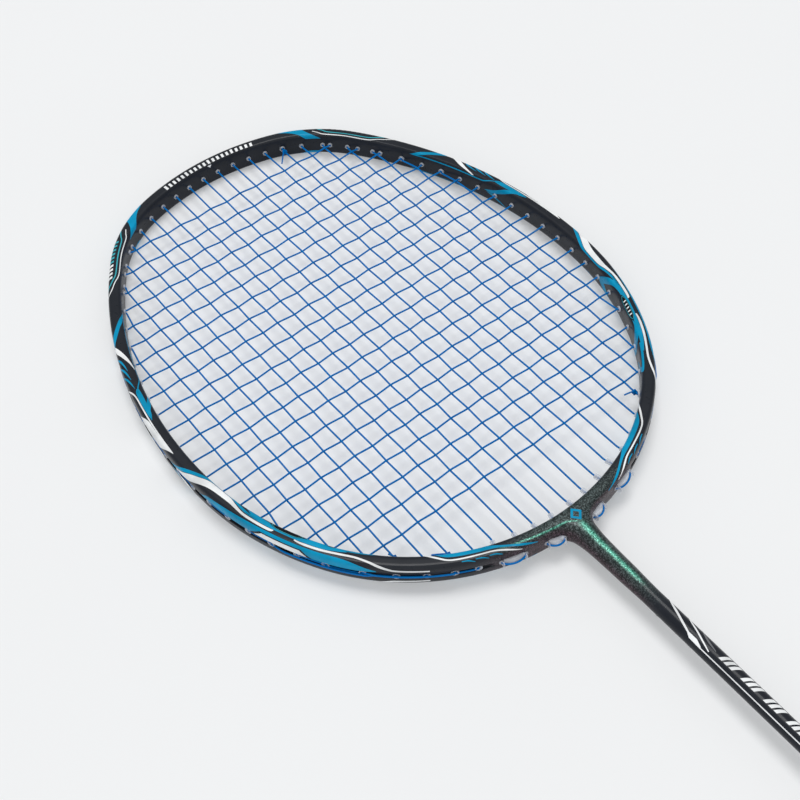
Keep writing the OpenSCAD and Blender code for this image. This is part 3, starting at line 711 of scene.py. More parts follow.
def frame_graphics():
    def shape(colour, a, b, level=0, **where):
        on_frame(colour, patch(a, b), level, **where)

    def line(colour, points, width, level=0, **where):
        on_frame(colour, stroke(points, width), level, **where)

    # blade and outline near the tip
    shape("cyan", [(36.4, 5.9), (37, 3.2), (38.6, 1.7), (43, 0.4), (47.2, -1.5), (51.2, -3.8)],
          [(47, 5.9), (49.3, 3.2), (49.9, 1.6), (51, 0.3), (53.6, -1.6), (58.8, -3.8)])
    shape("cyan", [(45.5, 5.9), (50, 5.9), (56, 5.9), (61.5, 5.9)],
          [(48.6, 3.2), (52, 2.7), (56.5, 3.3), (62, 5.2)])
    line("white", [(54.5, 0.25), (57, -0.7), (60.5, -1.85), (71, -1.95), (82.5, -1.9), (87.5, -0.3),
          (92.5, 1.2), (96.5, 3.3), (99.5, 5.9)], 0.42)
    line("teal", [(55.5, 2.4), (59, 0.9), (62.5, -0.35), (72, -0.55), (82, -0.5), (86, 0.6), (90.5, 2.4),
          (94.5, 4.6)], 0.5)
    for i in range(10):
        bold = i > 5
        for side, start in ((-1, 0.9), (1, 2.2)):
            rung = bar(62.5 + 2.4 * i, start, 4.2, 1.3 if bold else 1.1, 1.6)
            on_frame("white" if bold else "teal", rung, sides=(side,))
    # long outlined arrow and the white flash
    shape("cyan", [(130, 5.9), (126.8, 3.8), (123, 2.1), (118.6, 0.4), (114.6, -1.1), (111.2, -2.5),
           (107, -3.3)],
          [(125.4, 5.9), (121.8, 3.8), (117.8, 2), (113.8, 0.4), (110.2, -1.1), (107.6, -2.4),
           (104.8, -3.5)])
    line("cyan", [(106, -3.3), (115, -3.15), (130, -3.05), (143, -2.95), (146.5, -2.4), (150, -0.8),
          (153, 0.1)], 0.45)
    shape("white", [(120.4, 5.9), (122.3, 4.2), (125.6, 2.1), (128.7, 0.4), (132.7, -1.2), (138.6, -2.6)],
          [(123.6, 5.9), (126.2, 3.9), (129.4, 2.2), (132.2, 0.6), (135.4, -1), (139.8, -2.5)])
    for i in range(3):
        o = -5.2 * i
        for side, out in ((-1, 0.0), (1, -0.45)):
            line("cyan", [(150 + o, 0.45 + out), (146.6 + o, 1.15 + out), (143.6 + o, 2.2 + out),
                  (141.2 + o, 3.9), (139.6 + o, 5.6)], [0.1, 0.6, 0.8, 0.6, 0.2], sides=(side,))
    shape("cyan", [(168.6, 0.4), (164, 0.75), (153.6, 0.85), (150.5, 0.05)],
          [(168.4, 0.2), (164, -1), (155, -1.2), (150.9, -0.9)])
    shape("cyan", [(168.3, 0.3), (164.2, -0.9), (157.2, -4.2), (150.8, -7.2)],
          [(160.4, -0.9), (157.5, -2), (152, -4.6), (146.2, -6.9)], faces=(1,))
    shape("cyan", [(159.5, -3.4), (150.8, -7.2)], [(158.7, -3.4), (147.4, -7.2)], faces=(-1,))
    # white field on the outside of the side, with its long edge line
    shape("white", [(188.5, 1.25), (184.5, 2.6), (181.5, 4.2), (179, 6)],
          [(168.4, 1.7), (165.6, 2.6), (162.6, 4.2), (160.6, 6)])
    line("white", [(188, 1.3), (184, 1.25), (170, 1.25), (160, 1.3), (154.5, 1.5), (151.3, 2.4), (148.7, 4),
          (146.4, 6)], [0.3, 0.55, 0.55, 0.55, 0.7])
    # swoosh with a cyan edge
    shape("cyan", [(190.5, 6), (194.6, 4.2), (198.6, 2.4), (203, 0.4), (208, -1.8), (212, -2.4),
           (219.6, -2.4), (224.4, -1.3), (229, -0.4), (235, 0)],
          [(187.3, 6), (191.6, 4.2), (195.4, 2.4), (200.2, 0.1), (205, -1.9), (209.5, -3), (219.8, -3.1),
           (226, -1.9), (231, -1.1), (236, -0.7)])
    shape("white", [(196.6, 6), (199.8, 5), (203.6, 3.2), (207.8, 1.5), (211, 0.55), (215, 0.1), (221, 0),
           (225, 0.45), (229, 1), (233, 1.2), (241.8, 1.2), (243.4, 0.3)],
          [(190.8, 6), (194.8, 4.4), (198.8, 2.5), (203.2, 0.5), (208, -1.6), (212, -2.2), (219.6, -2.2),
           (224, -1.1), (228, -0.1), (232, 0.15), (241, 0.2), (243.2, 0.1)])
    line("white", [(252.3, 0.3), (255, 0.62), (262, 0.6), (270, 0.2), (276, 0.15), (281, 1.1), (285, 2.4),
          (289, 3.5), (292, 3.95), (303.5, 4.2)], [0.5, 0.95, 0.9, 0.85, 0.8, 0.8, 0.85, 0.8, 0.7, 0.65])
    # cyan band on the outside, with a white panel
    for face, foot in ((1, 6.0), (-1, 3.0)):
        shape("cyan", [(206.5, foot), (215, foot), (235, foot), (260, foot), (276, foot),
               (284.6, min(foot, 5.2))],
              [(208.8, min(foot, 5.4)), (214, 3.2), (235, 1.85), (260, 1.75), (273, 1.95),
               (284.4, min(foot, 4.7))], faces=(face,))
    shape("ink", [(260.6, 6), (233.6, 6)], [(256.2, 2.95), (238.6, 2.95)], 1, faces=(1,))
    shape("white", [(258.6, 6), (235.6, 6)], [(255.6, 3.4), (239.4, 3.4)], 2, faces=(1,))
    # cyan on the inside: band, two arms and an oval
    shape("cyan", [(229.5, -0.45), (234, -0.1), (243, 0), (262, 0), (268, -0.5), (273, -1.2)],
          [(229.5, -0.9), (235, -1.5), (243, -1.6), (257, -1.6), (264, -1.9), (272, -1.7)])
    shape("cyan", [(233.5, -0.6), (229.4, -2.1), (225.2, -4.6), (222.3, -7.3)],
          [(242, -1.9), (237.5, -2.1), (232.6, -3.3), (227, -7.3)])
    shape("cyan", [(255, -2.1), (259.6, -2.5), (262.3, -4.2), (263.4, -7.3)],
          [(260, -1), (266, -2.6), (268.2, -5), (268.6, -7.3)])
    shape("ink", [(240.6, -1.6), (243.5, -0.75), (248, -0.6), (252.5, -0.75), (255.6, -1.6)],
          [(240.6, -1.9), (243.5, -2.8), (248, -3), (252.5, -2.8), (255.6, -1.9)], 1)
    line("teal", [(241.2, -1.75), (243.6, -0.95), (248, -0.82), (252.4, -0.95), (254.9, -1.75),
          (252.4, -2.6), (248, -2.78), (243.6, -2.6), (241.2, -1.75)], 0.16, 2)
    for i in range(5):
        on_frame("white", bar(244.2 + 1.9 * i, -1.25, -2.4, 0.55, 0.5), 2, sides=(1,))
    shape("cyan", [(268, -1.5), (277, -1.6), (283.6, -2.3), (280.6, -5.2), (276.5, -7.3)],
          [(268, -2.4), (275.5, -2.6), (280.6, -3), (278, -5), (273.8, -7.3)])
    # arrow heads beside the throat
    line("white", [(337.4, 3.6), (331.5, 1.75), (327.2, 0.7), (322, 0.6), (313.5, 0.75), (310, 0.45),
          (306.6, -0.8), (303, -2.2), (300, -3.6), (297.2, -5.4), (295.4, -7.3)],
         [0.3, 0.6, 0.6, 0.6, 0.6, 0.6, 0.75, 0.75, 0.7, 0.7])
    shape("cyan", [(343.6, 3.6), (337, 2.2), (331, 0.35), (327, -0.35), (322, -0.45), (312, -0.55),
           (308.4, -1.2), (304.6, -2.9), (301.8, -4.7), (299.3, -7.3)],
          [(343.8, 3.3), (336.6, 1.2), (331, -0.55), (328.6, -1.3), (326.4, -2), (324.6, -2.8),
           (323.2, -3.7), (322.2, -4.7), (321.3, -5.8), (320.4, -7.3)])
    for i in range(3):
        o = -5.1 * i
        line("cyan", [(330 + o, 2.8), (327.6 + o, 2.05), (325.2 + o, 1.95)], [0.2, 0.45, 0.3], sides=(-1, 1))
    # plain scale of ticks at the tip, and a small pointer
    for i in range(20):
        tick = bar(-23.5 + 2.5 * i, -1.8, 0.45 if i % 5 else 0.8, 1.25, 0.2)
        on_frame("white", tick, sides=(1,), faces=(1,))
    shape("white", [(0.9, -3.5), (0.9, -3.5)], [(-0.2, -2.5), (2, -2.5)], sides=(1,), faces=(1,))


frame_graphics()


def on_shaft(colour, grid, level=0):
    """Put a flat (y, degrees) grid on the shaft."""
    soup = LAYERS.setdefault((colour, "shaft"), Soup())
    g = np.asarray(grid, float)
    r = SHAFT_R + 0.03 + 0.012 * level + 0.14 * ease((g[..., 0] - 366) / 8)
    a = np.radians(g[..., 1])
    pts = np.stack([r * np.sin(a), g[..., 0], r * np.cos(a)], -1)
    soup.grid(pts, flip=facing(g) < 0)


SHAFT_CHART = 16.4          # degrees of the shaft's surface to one unit across a stroke


def shaft_graphics():
    """The same shapes on both sides of the shaft."""
    for turn in (0, 180):
        def shape(a, b, **more):
            rails = [[(y, v + turn) for y, v in rail] for rail in (a, b)]
            on_shaft("white", patch(*rails, **more))

        def line(colour, points, width):
            g = stroke([(y, (v + turn) / SHAFT_CHART) for y, v in points], width)
            g[..., 1] *= SHAFT_CHART
            on_shaft(colour, g)

        line("white", [(370.9, 63), (370.5, 58), (368.3, 36), (364.2, 10), (360.2, -12), (356.8, -29)],
             [0.9, 1, 0.95, 0.8, 0.75, 0.6])
        shape([(358.2, -22), (353.4, -22), (350.5, -40)],
              [(358.2, -25), (355.8, -48), (351, -50)], sharp=True)
        line("white", [(353, -46.5), (345, -47), (300, -47.5), (215, -47.5)], 0.42)
        line("white", [(361.3, 63), (361, 58), (359.2, 38), (355.4, 15), (351.4, -8), (347.6, -28)],
             [0.7, 0.75, 0.7, 0.6, 0.5, 0.35])
        line("grey", [(355.5, 80), (353.6, 46), (350.6, 20), (346, 2)], [0.4, 0.9, 0.8, 0.3])
        # plain slanted bars in threes
        for k in range(12):
            for n in range(3):
                top = 344 - 10.0 * k - 2.35 * n
                shape([(top, -14), (top - 2.2, 44)], [(top - 1.5, -14), (top - 3.7, 44)])


shaft_graphics()


def throat_mark():
    """Plain hollow diamond laid on the throat's top face."""
    soup = LAYERS.setdefault(("cyan", "frame"), Soup())

    def lay(x, y):
        _, place, normal, _ = throat_mesh.ray_cast(Vector((x, y, 20)) * MM, Vector((0, 0, -1)))
        return np.array(place + normal * 0.00005) / MM

    middle = np.array([0.5, THROAT_Y - 1.8])
    half_x, half_y = 2.7, 3.0
    corners = [np.array(c) for c in ((0, half_y), (half_x, 0), (0, -half_y), (-half_x, 0))]
    for a, b in zip(corners, corners[1:] + corners[:1]):
        soup.grid([[lay(*(middle + (a + (b - a) * t) * k)) for k in (1.0, 0.84, 0.68, 0.54)]
                   for t in np.linspace(0, 1, 13)])


throat_mark()

COLOURS = {"white": WHITE, "cyan": CYAN, "teal": TEAL, "ink": INK, "grey": GREY}
for (colour, where), soup in LAYERS.items():
    soup.make(f"{where}_{colour}_lines", COLOURS[colour], slot=f"{where}_paint")

# ---------------- string layout, as in the CAD

STRING_R = 0.35
BED_R = 0.385  # the drawn strings are a little over the gauge, and press into each other
MAINS, CROSSES = 11, 21                 # mains on each side, and all crosses
MAIN_PITCH, MAIN_EDGE = 8.12, 0.5       # spacing, and how far the last one is moved out
CROSS_PITCH, CROSS_EDGE, CROSS_UP = 9.65, 1.1, 0.3
BRIDGE_RISE = 1.6
LAST_BRIDGED = 3                        # mains 0 to 3 leave the throat over a bridge
FIFTH_STICK = 2.5
BED_Y = OVERALL - BED
STICK, THROAT_STICK = 0.9, 4.6
FLANGE_T = 0.5
RUN_R, RUN_Z = GROOVE_R + FLANGE_T + STRING_R - 0.07, 0.45
EXIT_Z, PAIR_Z = 0.24, 0.42
TIE_LIFT = 2 * STRING_R + 0.12
TIP_SHARED = {9: 3, 10: 5}
THROAT_SHARED = {8: 20, 9: 19, 10: 17}
SHARED_CROSSES = set(TIP_SHARED.values()) | set(THROAT_SHARED.values())
TIE_MAIN, TIE_CROSS_TIP, TIE_CROSS_THROAT = 7, 4, 5


def main_x(i):
    return MAIN_PITCH * (i + 0.5) + (MAIN_EDGE if i == MAINS - 1 else 0)


def cross_y(j):
    edge = CROSS_EDGE if j == 0 else -CROSS_EDGE if j == CROSSES - 1 else 0
    return BED_Y + CROSS_UP + CROSS_PITCH * (10 - j) + edge


def hole_at(axis, value, stick, tip=True):
    """Angle of the hole whose mouth has the given x (axis 0) or y (axis 1)."""
    for k in range(5):
        q = (value - CENTRES[k][axis]) / (ARC_R[k] - HALF_W - stick)
        if abs(q) <= 1:
            a = math.degrees(math.acos(q) if axis else math.asin(q))
            a = a if tip else 180 - a
            if ARC_A[k] <= a <= ARC_A[k + 1]:
                return a


def main_stick(i):
    return THROAT_STICK if i <= LAST_BRIDGED else FIFTH_STICK if i == 4 else STICK


CROSS_HOLES = [hole_at(1, cross_y(j), STICK) for j in range(CROSSES)]
TIP_NUDGE = {8: 0.6}        # degrees that a hole is moved, to clear its neighbour
TIP_HOLES = [CROSS_HOLES[TIP_SHARED[i]] if i in TIP_SHARED
             else hole_at(0, main_x(i), STICK) - TIP_NUDGE.get(i, 0) for i in range(MAINS)]
THROAT_HOLES = [CROSS_HOLES[THROAT_SHARED[i]] if i in THROAT_SHARED
                else hole_at(0, main_x(i), main_stick(i), False) for i in range(MAINS)]
STEM_EXIT = np.array([7.4, THROAT_Y - 5])
INNER_MOUTH = np.array([main_x(0), hoop_angle(THROAT_HOLES[0], -HALF_W - THROAT_STICK)[1]])


def mouth(a, stick=STICK):
    return hoop_angle(a, -HALF_W - stick)


def at(p, z):
    return np.array([p[0], p[1], z])


def flip(side, points):
    return [np.array([side * p[0], p[1], p[2]]) for p in points]


def exit_of(i):
    return STEM_EXIT if i == 0 else hoop_angle(THROAT_HOLES[i], HALF_W + FLANGE_T + STRING_R + 0.02)


def inner_of(i):
    return INNER_MOUTH if i == 0 else mouth(THROAT_HOLES[i], THROAT_STICK)


def way_out(a, stick, z_in, z_exit, z_run):
    places = (mouth(a, stick), hoop_angle(a, GROOVE_R + FLANGE_T), hoop_angle(a, RUN_R))
    return [at(p, z) for p, z in zip(places, (z_in, z_exit, z_run))]


def barrel_run(a, stick, pair, up):
    """Out through a barrel: up is 1 for a cross and -1 for a main, which lie apart where they share one."""
    return way_out(a, stick, up * PAIR_Z if pair else 0, up * (PAIR_Z if pair else EXIT_Z), up * RUN_Z)


def tip_out(i):
    return barrel_run(TIP_HOLES[i], STICK, i in TIP_SHARED or i == TIE_CROSS_TIP, -1)


def throat_out(i):
    if i <= LAST_BRIDGED:
        return [at(inner_of(i), 0), at(exit_of(i), 0)]
    pair = i in THROAT_SHARED or i in (TIE_MAIN, TIE_CROSS_THROAT)
    return barrel_run(THROAT_HOLES[i], main_stick(i), pair, -1)


def cross_out(j):
    return barrel_run(CROSS_HOLES[j], STICK, j in SHARED_CROSSES, 1)


def room(i, j):
    """How far main i is inside the mouth of cross j's hole."""
    return mouth(CROSS_HOLES[j])[0] - main_x(i)


def meets(i, j):
    return room(i, j) > 0.9 and TIP_SHARED.get(i) != j and THROAT_SHARED.get(i) != j


def over(i, j, side):
    """Which way the cross passes the main: 1 above, -1 below."""
    return (1 if (i + j) % 2 == 0 else -1) * side


MAIN_WAVE, CROSS_WAVE = 0.33, 0.52      # how far each bends round the other


def main_line(i, side):
    return [np.array([main_x(i), cross_y(j), -MAIN_WAVE * over(i, j, side)])
            for j in range(CROSSES) if meets(i, j)]


def bridge_circle(p, q):
    """Centre and radius of the saddle's arc between two exits."""
    d = q - p
    c = np.linalg.norm(d) / 2
    r = (c * c + BRIDGE_RISE ** 2) / (2 * BRIDGE_RISE)
    out = np.array([-d[1], d[0]]) / np.linalg.norm(d)
    return (p + q) / 2 - (r - BRIDGE_RISE) * (out if out[1] < 0 else -out), r


def bridge_arc(i, k, count=6, more=0.0):
    p, q = exit_of(i), exit_of(k)
    c, r = bridge_circle(p, q)
    a0, a1 = math.atan2(p[1] - c[1], p[0] - c[0]), math.atan2(q[1] - c[1], q[0] - c[0])
    angles = [a0 + (a1 - a0) * n / count for n in range(count + 1)]
    return [c + (r + more) * np.array([math.cos(a), math.sin(a)]) for a in angles]


def run_on(start, end, z, parts=3, lift=0.0):
    """Along the outer groove from one hole to the next."""
    return [at(hoop_angle(start + (end - start) * n / parts, RUN_R + lift), z) for n in range(1, parts)]


def tie_run(start, end, z, parts=8):
    """Over the string that already lies in the groove, to the tie-off hole."""
    return run_on(start, end, z, parts, TIE_LIFT) + [at(hoop_angle(end, RUN_R + TIE_LIFT), z)]


def main_half(side):
    route = []
    for i in range(MAINS):
        down = tip_out(i)[::-1] + main_line(i, side) + throat_out(i)
        route += down[::-1] if i % 2 else down
        if i in (0, 2):
            route += [at(p, 0) for p in bridge_arc(i, i + 1)[1:-1]]
        elif i < MAINS - 1:
            holes = TIP_HOLES if i % 2 else THROAT_HOLES
            route += run_on(holes[i], holes[i + 1], -RUN_Z)
    a = THROAT_HOLES[TIE_MAIN]
    route += tie_run(THROAT_HOLES[MAINS - 1], THROAT_HOLES[TIE_MAIN + 1] + 0.8, -RUN_Z)
    route += [at(hoop_angle(a - before, RUN_R), -RUN_Z) for before in (4, 1)]
    inward = (hoop_angle(a, GROOVE_R + FLANGE_T), mouth(a), mouth(a, STICK + 0.5))
    return route + [at(p, PAIR_Z) for p in inward]


def cross_half(j, side):
    out = []
    for i in range(MAINS):
        if meets(i, j):
            z = CROSS_WAVE * over(i, j, side)
            out.append(np.array([side * main_x(i), cross_y(j), z]))
            if room(i, j) < 2:
                out.append(np.array([side * (main_x(i) + 0.4), cross_y(j), z]))
    return out


def cross_run(j):
    right = cross_half(j, -1)[::-1] + cross_half(j, 1)
    return flip(-1, cross_out(j)[::-1]) + right + cross_out(j)


def cross_route():
    start = TIP_HOLES[TIE_CROSS_TIP]
    route = [at(mouth(start, STICK + 0.5), PAIR_Z)] + way_out(start, STICK, PAIR_Z, PAIR_Z, RUN_Z)
    route += run_on(start, CROSS_HOLES[0], RUN_Z, 8)
    for j in range(CROSSES):
        route += cross_run(j) if j % 2 else cross_run(j)[::-1]
        if j < CROSSES - 1:
            route += flip(1 if j % 2 else -1, run_on(CROSS_HOLES[j], CROSS_HOLES[j + 1], RUN_Z))
    a = THROAT_HOLES[TIE_CROSS_THROAT]
    route += flip(-1, tie_run(CROSS_HOLES[CROSSES - 1], a, RUN_Z))
    route += flip(-1, [at(hoop_angle(a, GROOVE_R + FLANGE_T), PAIR_Z), at(mouth(a, STICK + 0.5), PAIR_Z)])
    return route


def strings():
    """One piece for all mains and one for all crosses."""
    right, left = main_half(1), main_half(-1)
    whole = flip(-1, left[::-1]) + [at(hoop_angle(0, RUN_R), -RUN_Z)] + right
    soup = Soup()
    tube(soup, rounded(whole), BED_R)
    soup.make("mains", STRING, slot="string", replaces=("main_string",))
    soup = Soup()
    tube(soup, rounded(cross_route()), BED_R)
    soup.make("crosses", STRING, slot="string", replaces=("cross_string",))


strings()

HITCH_TURNS, HITCH_STEPS = 2.3, 12


def knot(soup, i, side, tip, tail, long):
    """Two hitches round a main just inside its barrel, drawn tight, with a tail at an angle from +X."""
    a = (TIP_HOLES if tip else THROAT_HOLES)[i]
    into = -1 if tip else 1
    x, y = side * main_x(i), mouth(a)[1] + 1.05 * into
    z = 0.02 - PAIR_Z
    ring = 2 * STRING_R + 0.08
    path = [at(mouth(a, STICK + 0.4) * [side, 1], PAIR_Z)]
    for n in range(int(HITCH_TURNS * HITCH_STEPS) + 1):
        t = n / HITCH_STEPS
        w = 2 * math.pi * t
        path.append(np.array([x + side * ring * math.sin(w), y + into * 0.62 * t, z + ring * math.cos(w)]))
    d = np.array([math.cos(math.radians(tail)), math.sin(math.radians(tail)), 0])
    start = np.array([x, y + into * 0.4, z + ring + 0.55])
    sag = 0.016 * long
    path += [start] + [start + part * long * d + np.array([0, 0, rise * sag])
                       for part, rise in ((0.35, 0.25), (0.7, -0.6), (1, -3.2))]
    tube(soup, rounded(path, 0.9, 4), STRING_R - 0.02, sides=10)
    # the second hitch lies across the first
    path = [np.array([x + ring * math.sin(w) * 1.05, y + into * (0.75 + 0.55 * math.sin(w)),
                      z + (ring + 0.3) * math.cos(w)])
            for w in np.linspace(0.4, 2 * math.pi - 0.3, 22)]
    tube(soup, path, STRING_R - 0.03, sides=10)


def knots():
    soup = Soup()
    knot(soup, TIE_MAIN, 1, False, 164, 5.0)
    knot(soup, TIE_MAIN, -1, False, 114, 2.8)
    soup.make("main_hitches", STRING, slot="string", replaces=("main_knots",))
    soup = Soup()
    knot(soup, TIE_CROSS_TIP, 1, True, 229, 9.6)
    knot(soup, TIE_CROSS_THROAT, -1, False, 144, 6.6)
    soup.make("cross_hitches", STRING, slot="string", replaces=("cross_knots",))


knots()

# ---------------- grommets

def barrel(soup, inner, outer, r, bore, wide=0.0):
    """A moulded tube with a rounded lip inside the hoop, and a shallow cup outside if it has a wide end."""
    axis = outer - inner
    end = float(np.linalg.norm(axis))
    lip = 0.16
    profile = [(1.6, bore), (0.12, bore), (0, bore + 0.1), (0, r - lip), (lip * 0.4, r - lip * 0.3), (lip, r)]
    if wide:
        profile += [(end - back, size) for back, size in (
            (0.75, r), (0.5, r + 0.15), (0.38, wide - 0.05), (0.2, wide), (0.02, wide - 0.1),
            (0, wide - 0.28), (0.1, wide - 0.45), (0.35, bore + 0.12), (0.7, bore), (2.2, bore))]
    else:
        profile += [(end - back, size) for back, size in (
            (lip, r), (0, r - lip), (0, bore + 0.1), (0.2, bore), (1.5, bore))]
    lathe(soup, [*inner, 0], [axis[0], axis[1], 0], profile, 22)


# outer end, radius, bore and radius of the cup
BARREL, WIDE_BARREL = (3.0, 1.1, 0.6, 1.5), (3.03, 1.35, 0.85, 1.62)
BURIED, FIFTH_BURIED = 0.8, 0.9  # the throat barrels are drawn this much shorter inside than in the CAD


def at_hole(soup, a, side, stick, shared=False):
    reach, *sizes = WIDE_BARREL if shared else BARREL
    s = np.array([side, 1.0])
    barrel(soup, mouth(a, stick) * s, hoop_angle(a, reach) * s, *sizes)


def grommets():
    paired = [f"{word}_{part}" for part in ("shoulder", "side", "cheek") for word in ("left", "right")]
    sets = {name + "_grommets": Soup() for name in ("tip", *paired, "shared", "tie_off")}
    for side, word in ((1, "right"), (-1, "left")):
        for i in range(9):
            tie = side > 0 and i == TIE_CROSS_TIP
            name = "tie_off_grommets" if tie else "tip_grommets" if i < 6 else word + "_shoulder_grommets"
            at_hole(sets[name], TIP_HOLES[i], side, STICK, tie)
        for j in range(CROSSES):
            if j in SHARED_CROSSES:
                at_hole(sets["shared_grommets"], CROSS_HOLES[j], side, STICK, True)
            else:
                part = "shoulder" if j < 7 else "side" if j < 17 else "cheek"
                at_hole(sets[f"{word}_{part}_grommets"], CROSS_HOLES[j], side, STICK)
        for i in (4, 5, 6, 7):
            tie = i == TIE_MAIN or (i == TIE_CROSS_THROAT and side < 0)
            name = "tie_off_grommets" if tie else word + "_cheek_grommets"
            at_hole(sets[name], THROAT_HOLES[i], side, main_stick(i) - (FIFTH_BURIED if i == 4 else 0), tie)
    for name, soup in sets.items():
        soup.make("clear_" + name, CLEAR, slot="clear_plastic", replaces=(name,))


grommets()


def bridges():
    """Two long barrels joined outside by a crescent saddle that carries the string."""
    soup = Soup()
    count, half = 26, 1.5       # steps along a saddle, and half its width
    for side in (1, -1):
        s = np.array([side, 1.0])
        for i, k in ((0, 1), (2, 3)):
            for n in (i, k):
                leave = exit_of(n) - inner_of(n)
                leave /= np.linalg.norm(leave)
                inner, outer = inner_of(n) + BURIED * leave, exit_of(n) - 0.3 * leave
                barrel(soup, inner * s, outer * s, *BARREL[1:3])
            crest = bridge_arc(i, k, count, -STRING_R - 0.02)
            p, q = exit_of(i), exit_of(k)
            rows = []
            for n, c in enumerate(crest):
                u = n / count
                foot = p + (q - p) * u
                deep = 1.7 * (1 - 0.1 * math.sin(math.pi * u))
                d = np.array([q[1] - p[1], p[0] - q[0]])
                d = d / np.linalg.norm(d)
                if d @ (c - (p + q) / 2 + np.array([0, -1e-6])) < 0:
                    d = -d
                base = foot - d * deep
                h = float((c - base) @ d)
                mid = base + d * h / 2
                ring = zip(*superellipse(circle(28), h / 2, half, 3.5))
                rows.append([[*((mid + d * x) * s), z] for x, z in ring])
            soup.grid(rows, wrap=True, flip=side > 0)
            for ring, flipped in ((rows[0], side < 0), (rows[-1], side > 0)):
                soup.fan(ring, np.mean(ring, 0), flip=flipped)
    soup.make("clear_bridges", CLEAR, slot="clear_plastic", replaces=("bridge_grommets",))


bridges()

# ---------------- handle

CORE_W, CORE_H, CHAMFER, CORE_TOP, CAP_T = 23.5, 21.0, 6.0, 168.0, 4.0
GRIP_T, FLARE, FLARE_L, CONE_TOP = 1.7, 5.5, 20.0, 201.0


def eight_sided(w, h, c, angles, power=26):
    """Radius of a rounded octagon at each angle."""
    x, z = np.abs(np.cos(angles)), np.abs(np.sin(angles))
    d = (w / 2 + h / 2 - c)
    total = (x / (w / 2)) ** power + (z / (h / 2)) ** power + ((x + z) / d) ** power
    return total ** (-1 / power)


def around(y, r, angles):
    return np.stack([r * np.cos(angles), np.full(len(angles), y), r * np.sin(angles)], -1)


def flare_at(y):
    """The handle's extra width near the butt."""
    return FLARE * float(1 - ease((y - CAP_T - 2) / (FLARE_L - 2)))


PITCH, GRIP_TOP = 19.5, CORE_TOP - 1


def grip_step(y, a):
    """Height of the spiral's lap at angle a."""
    spiral = (y / PITCH - a / (2 * np.pi)) % 1.0
    edge = 0.30 * ease(spiral / 0.03) * (1 - 0.55 * ease((spiral - 0.03) / 0.5))
    return edge + 0.12 * ease((spiral - 0.8) / 0.19)


def grip_radius(y, a, step):
    """Radius of the grip at angles a, with its outside 0.42 mm under the CAD's where the lap is lowest."""
    f = flare_at(y) + 2 * GRIP_T
    return eight_sided(CORE_W + f, CORE_H + f, CHAMFER + 1.3, a, 15) - 0.42 + step


def grip():
    """Spiral wrap with a soft step at each lap."""
    angles = circle(176)
    rows = []
    for y in np.concatenate([[CAP_T + 0.05], np.arange(CAP_T + 0.1, GRIP_TOP, 0.42), [GRIP_TOP]]):
        r = grip_radius(y, angles, grip_step(y, angles))
        end = y < CAP_T + 0.5 or y > GRIP_TOP - 0.4
        rows.append(around(y, r - 0.25 if end else r, angles))
    soup = Soup()
    soup.grid(rows, wrap=True)
    narrower = [0.86, 1, 0.86]
    soup.grid([rows[-1], rows[-1] * narrower], wrap=True)
    soup.grid([rows[0] * narrower, rows[0]], wrap=True)
    soup.make("grip_spiral", GRIP, slot="grip", replaces=("grip_wrap",))


def grip_holes():
    """Four rows of small holes along the middle of each turn, drawn as dark discs of painted shade lying on
    the wrap.
    """
    hole_shade_discs = Soup()
    up = np.array([0, 1.0, 0])
    across = 22                 # holes in a turn of one row
    for k in range(int((GRIP_TOP - CAP_T) / PITCH) + 2):
        for m in range(across):
            for lane in (0.35, 0.5, 0.65, 0.8):
                a = 2 * math.pi * m / across + (0.14 if lane in (0.5, 0.8) else 0)
                y = (k - 1 + lane + a / (2 * math.pi)) * PITCH
                if not CAP_T + 4 < y < GRIP_TOP - 17:
                    continue
                two = np.array([a, a + 0.02])
                p, q = around(y, grip_radius(y, two, grip_step(y, a)), two)
                along = (q - p) / np.linalg.norm(q - p)
                normal = np.cross(along, up)
                if normal @ np.array([math.cos(a), 0, math.sin(a)]) < 0:
                    normal = -normal
                turn = [math.cos(t) * along + math.sin(t) * up for t in circle(10)]
                rings = [[p + normal * lift + r * d for d in turn]
                         for lift, r in ((0.02, 0.42), (0.035, 0.25))]
                hole_shade_discs.grid(rings, wrap=True)
                hole_shade_discs.fan(rings[1], p + normal * 0.036)
    hole_shade_discs.make("grip_holes", HOLE_SHADE, slot="grip")


grip()
grip_holes()

AROUND = circle(144)


def finishing_tape():
    """Tape over the top end of the grip; each pair is a height and how far it is under the full size."""
    soup = Soup()
    more = 2 * (GRIP_T + 0.3)
    shape = eight_sided(CORE_W + more, CORE_H + more, CHAMFER + 1.5, AROUND, 16)
    profile = ((152, 0.5), (152.05, 0.14), (152.3, 0.06), (159, 0.05), (165.7, 0.06), (165.95, 0.14),
               (166, 0.5))
    soup.grid([around(y, shape - d, AROUND) for y, d in profile], wrap=True)
    soup.make("finishing_tape", TAPE, slot="tape", replaces=("grip_tape",))


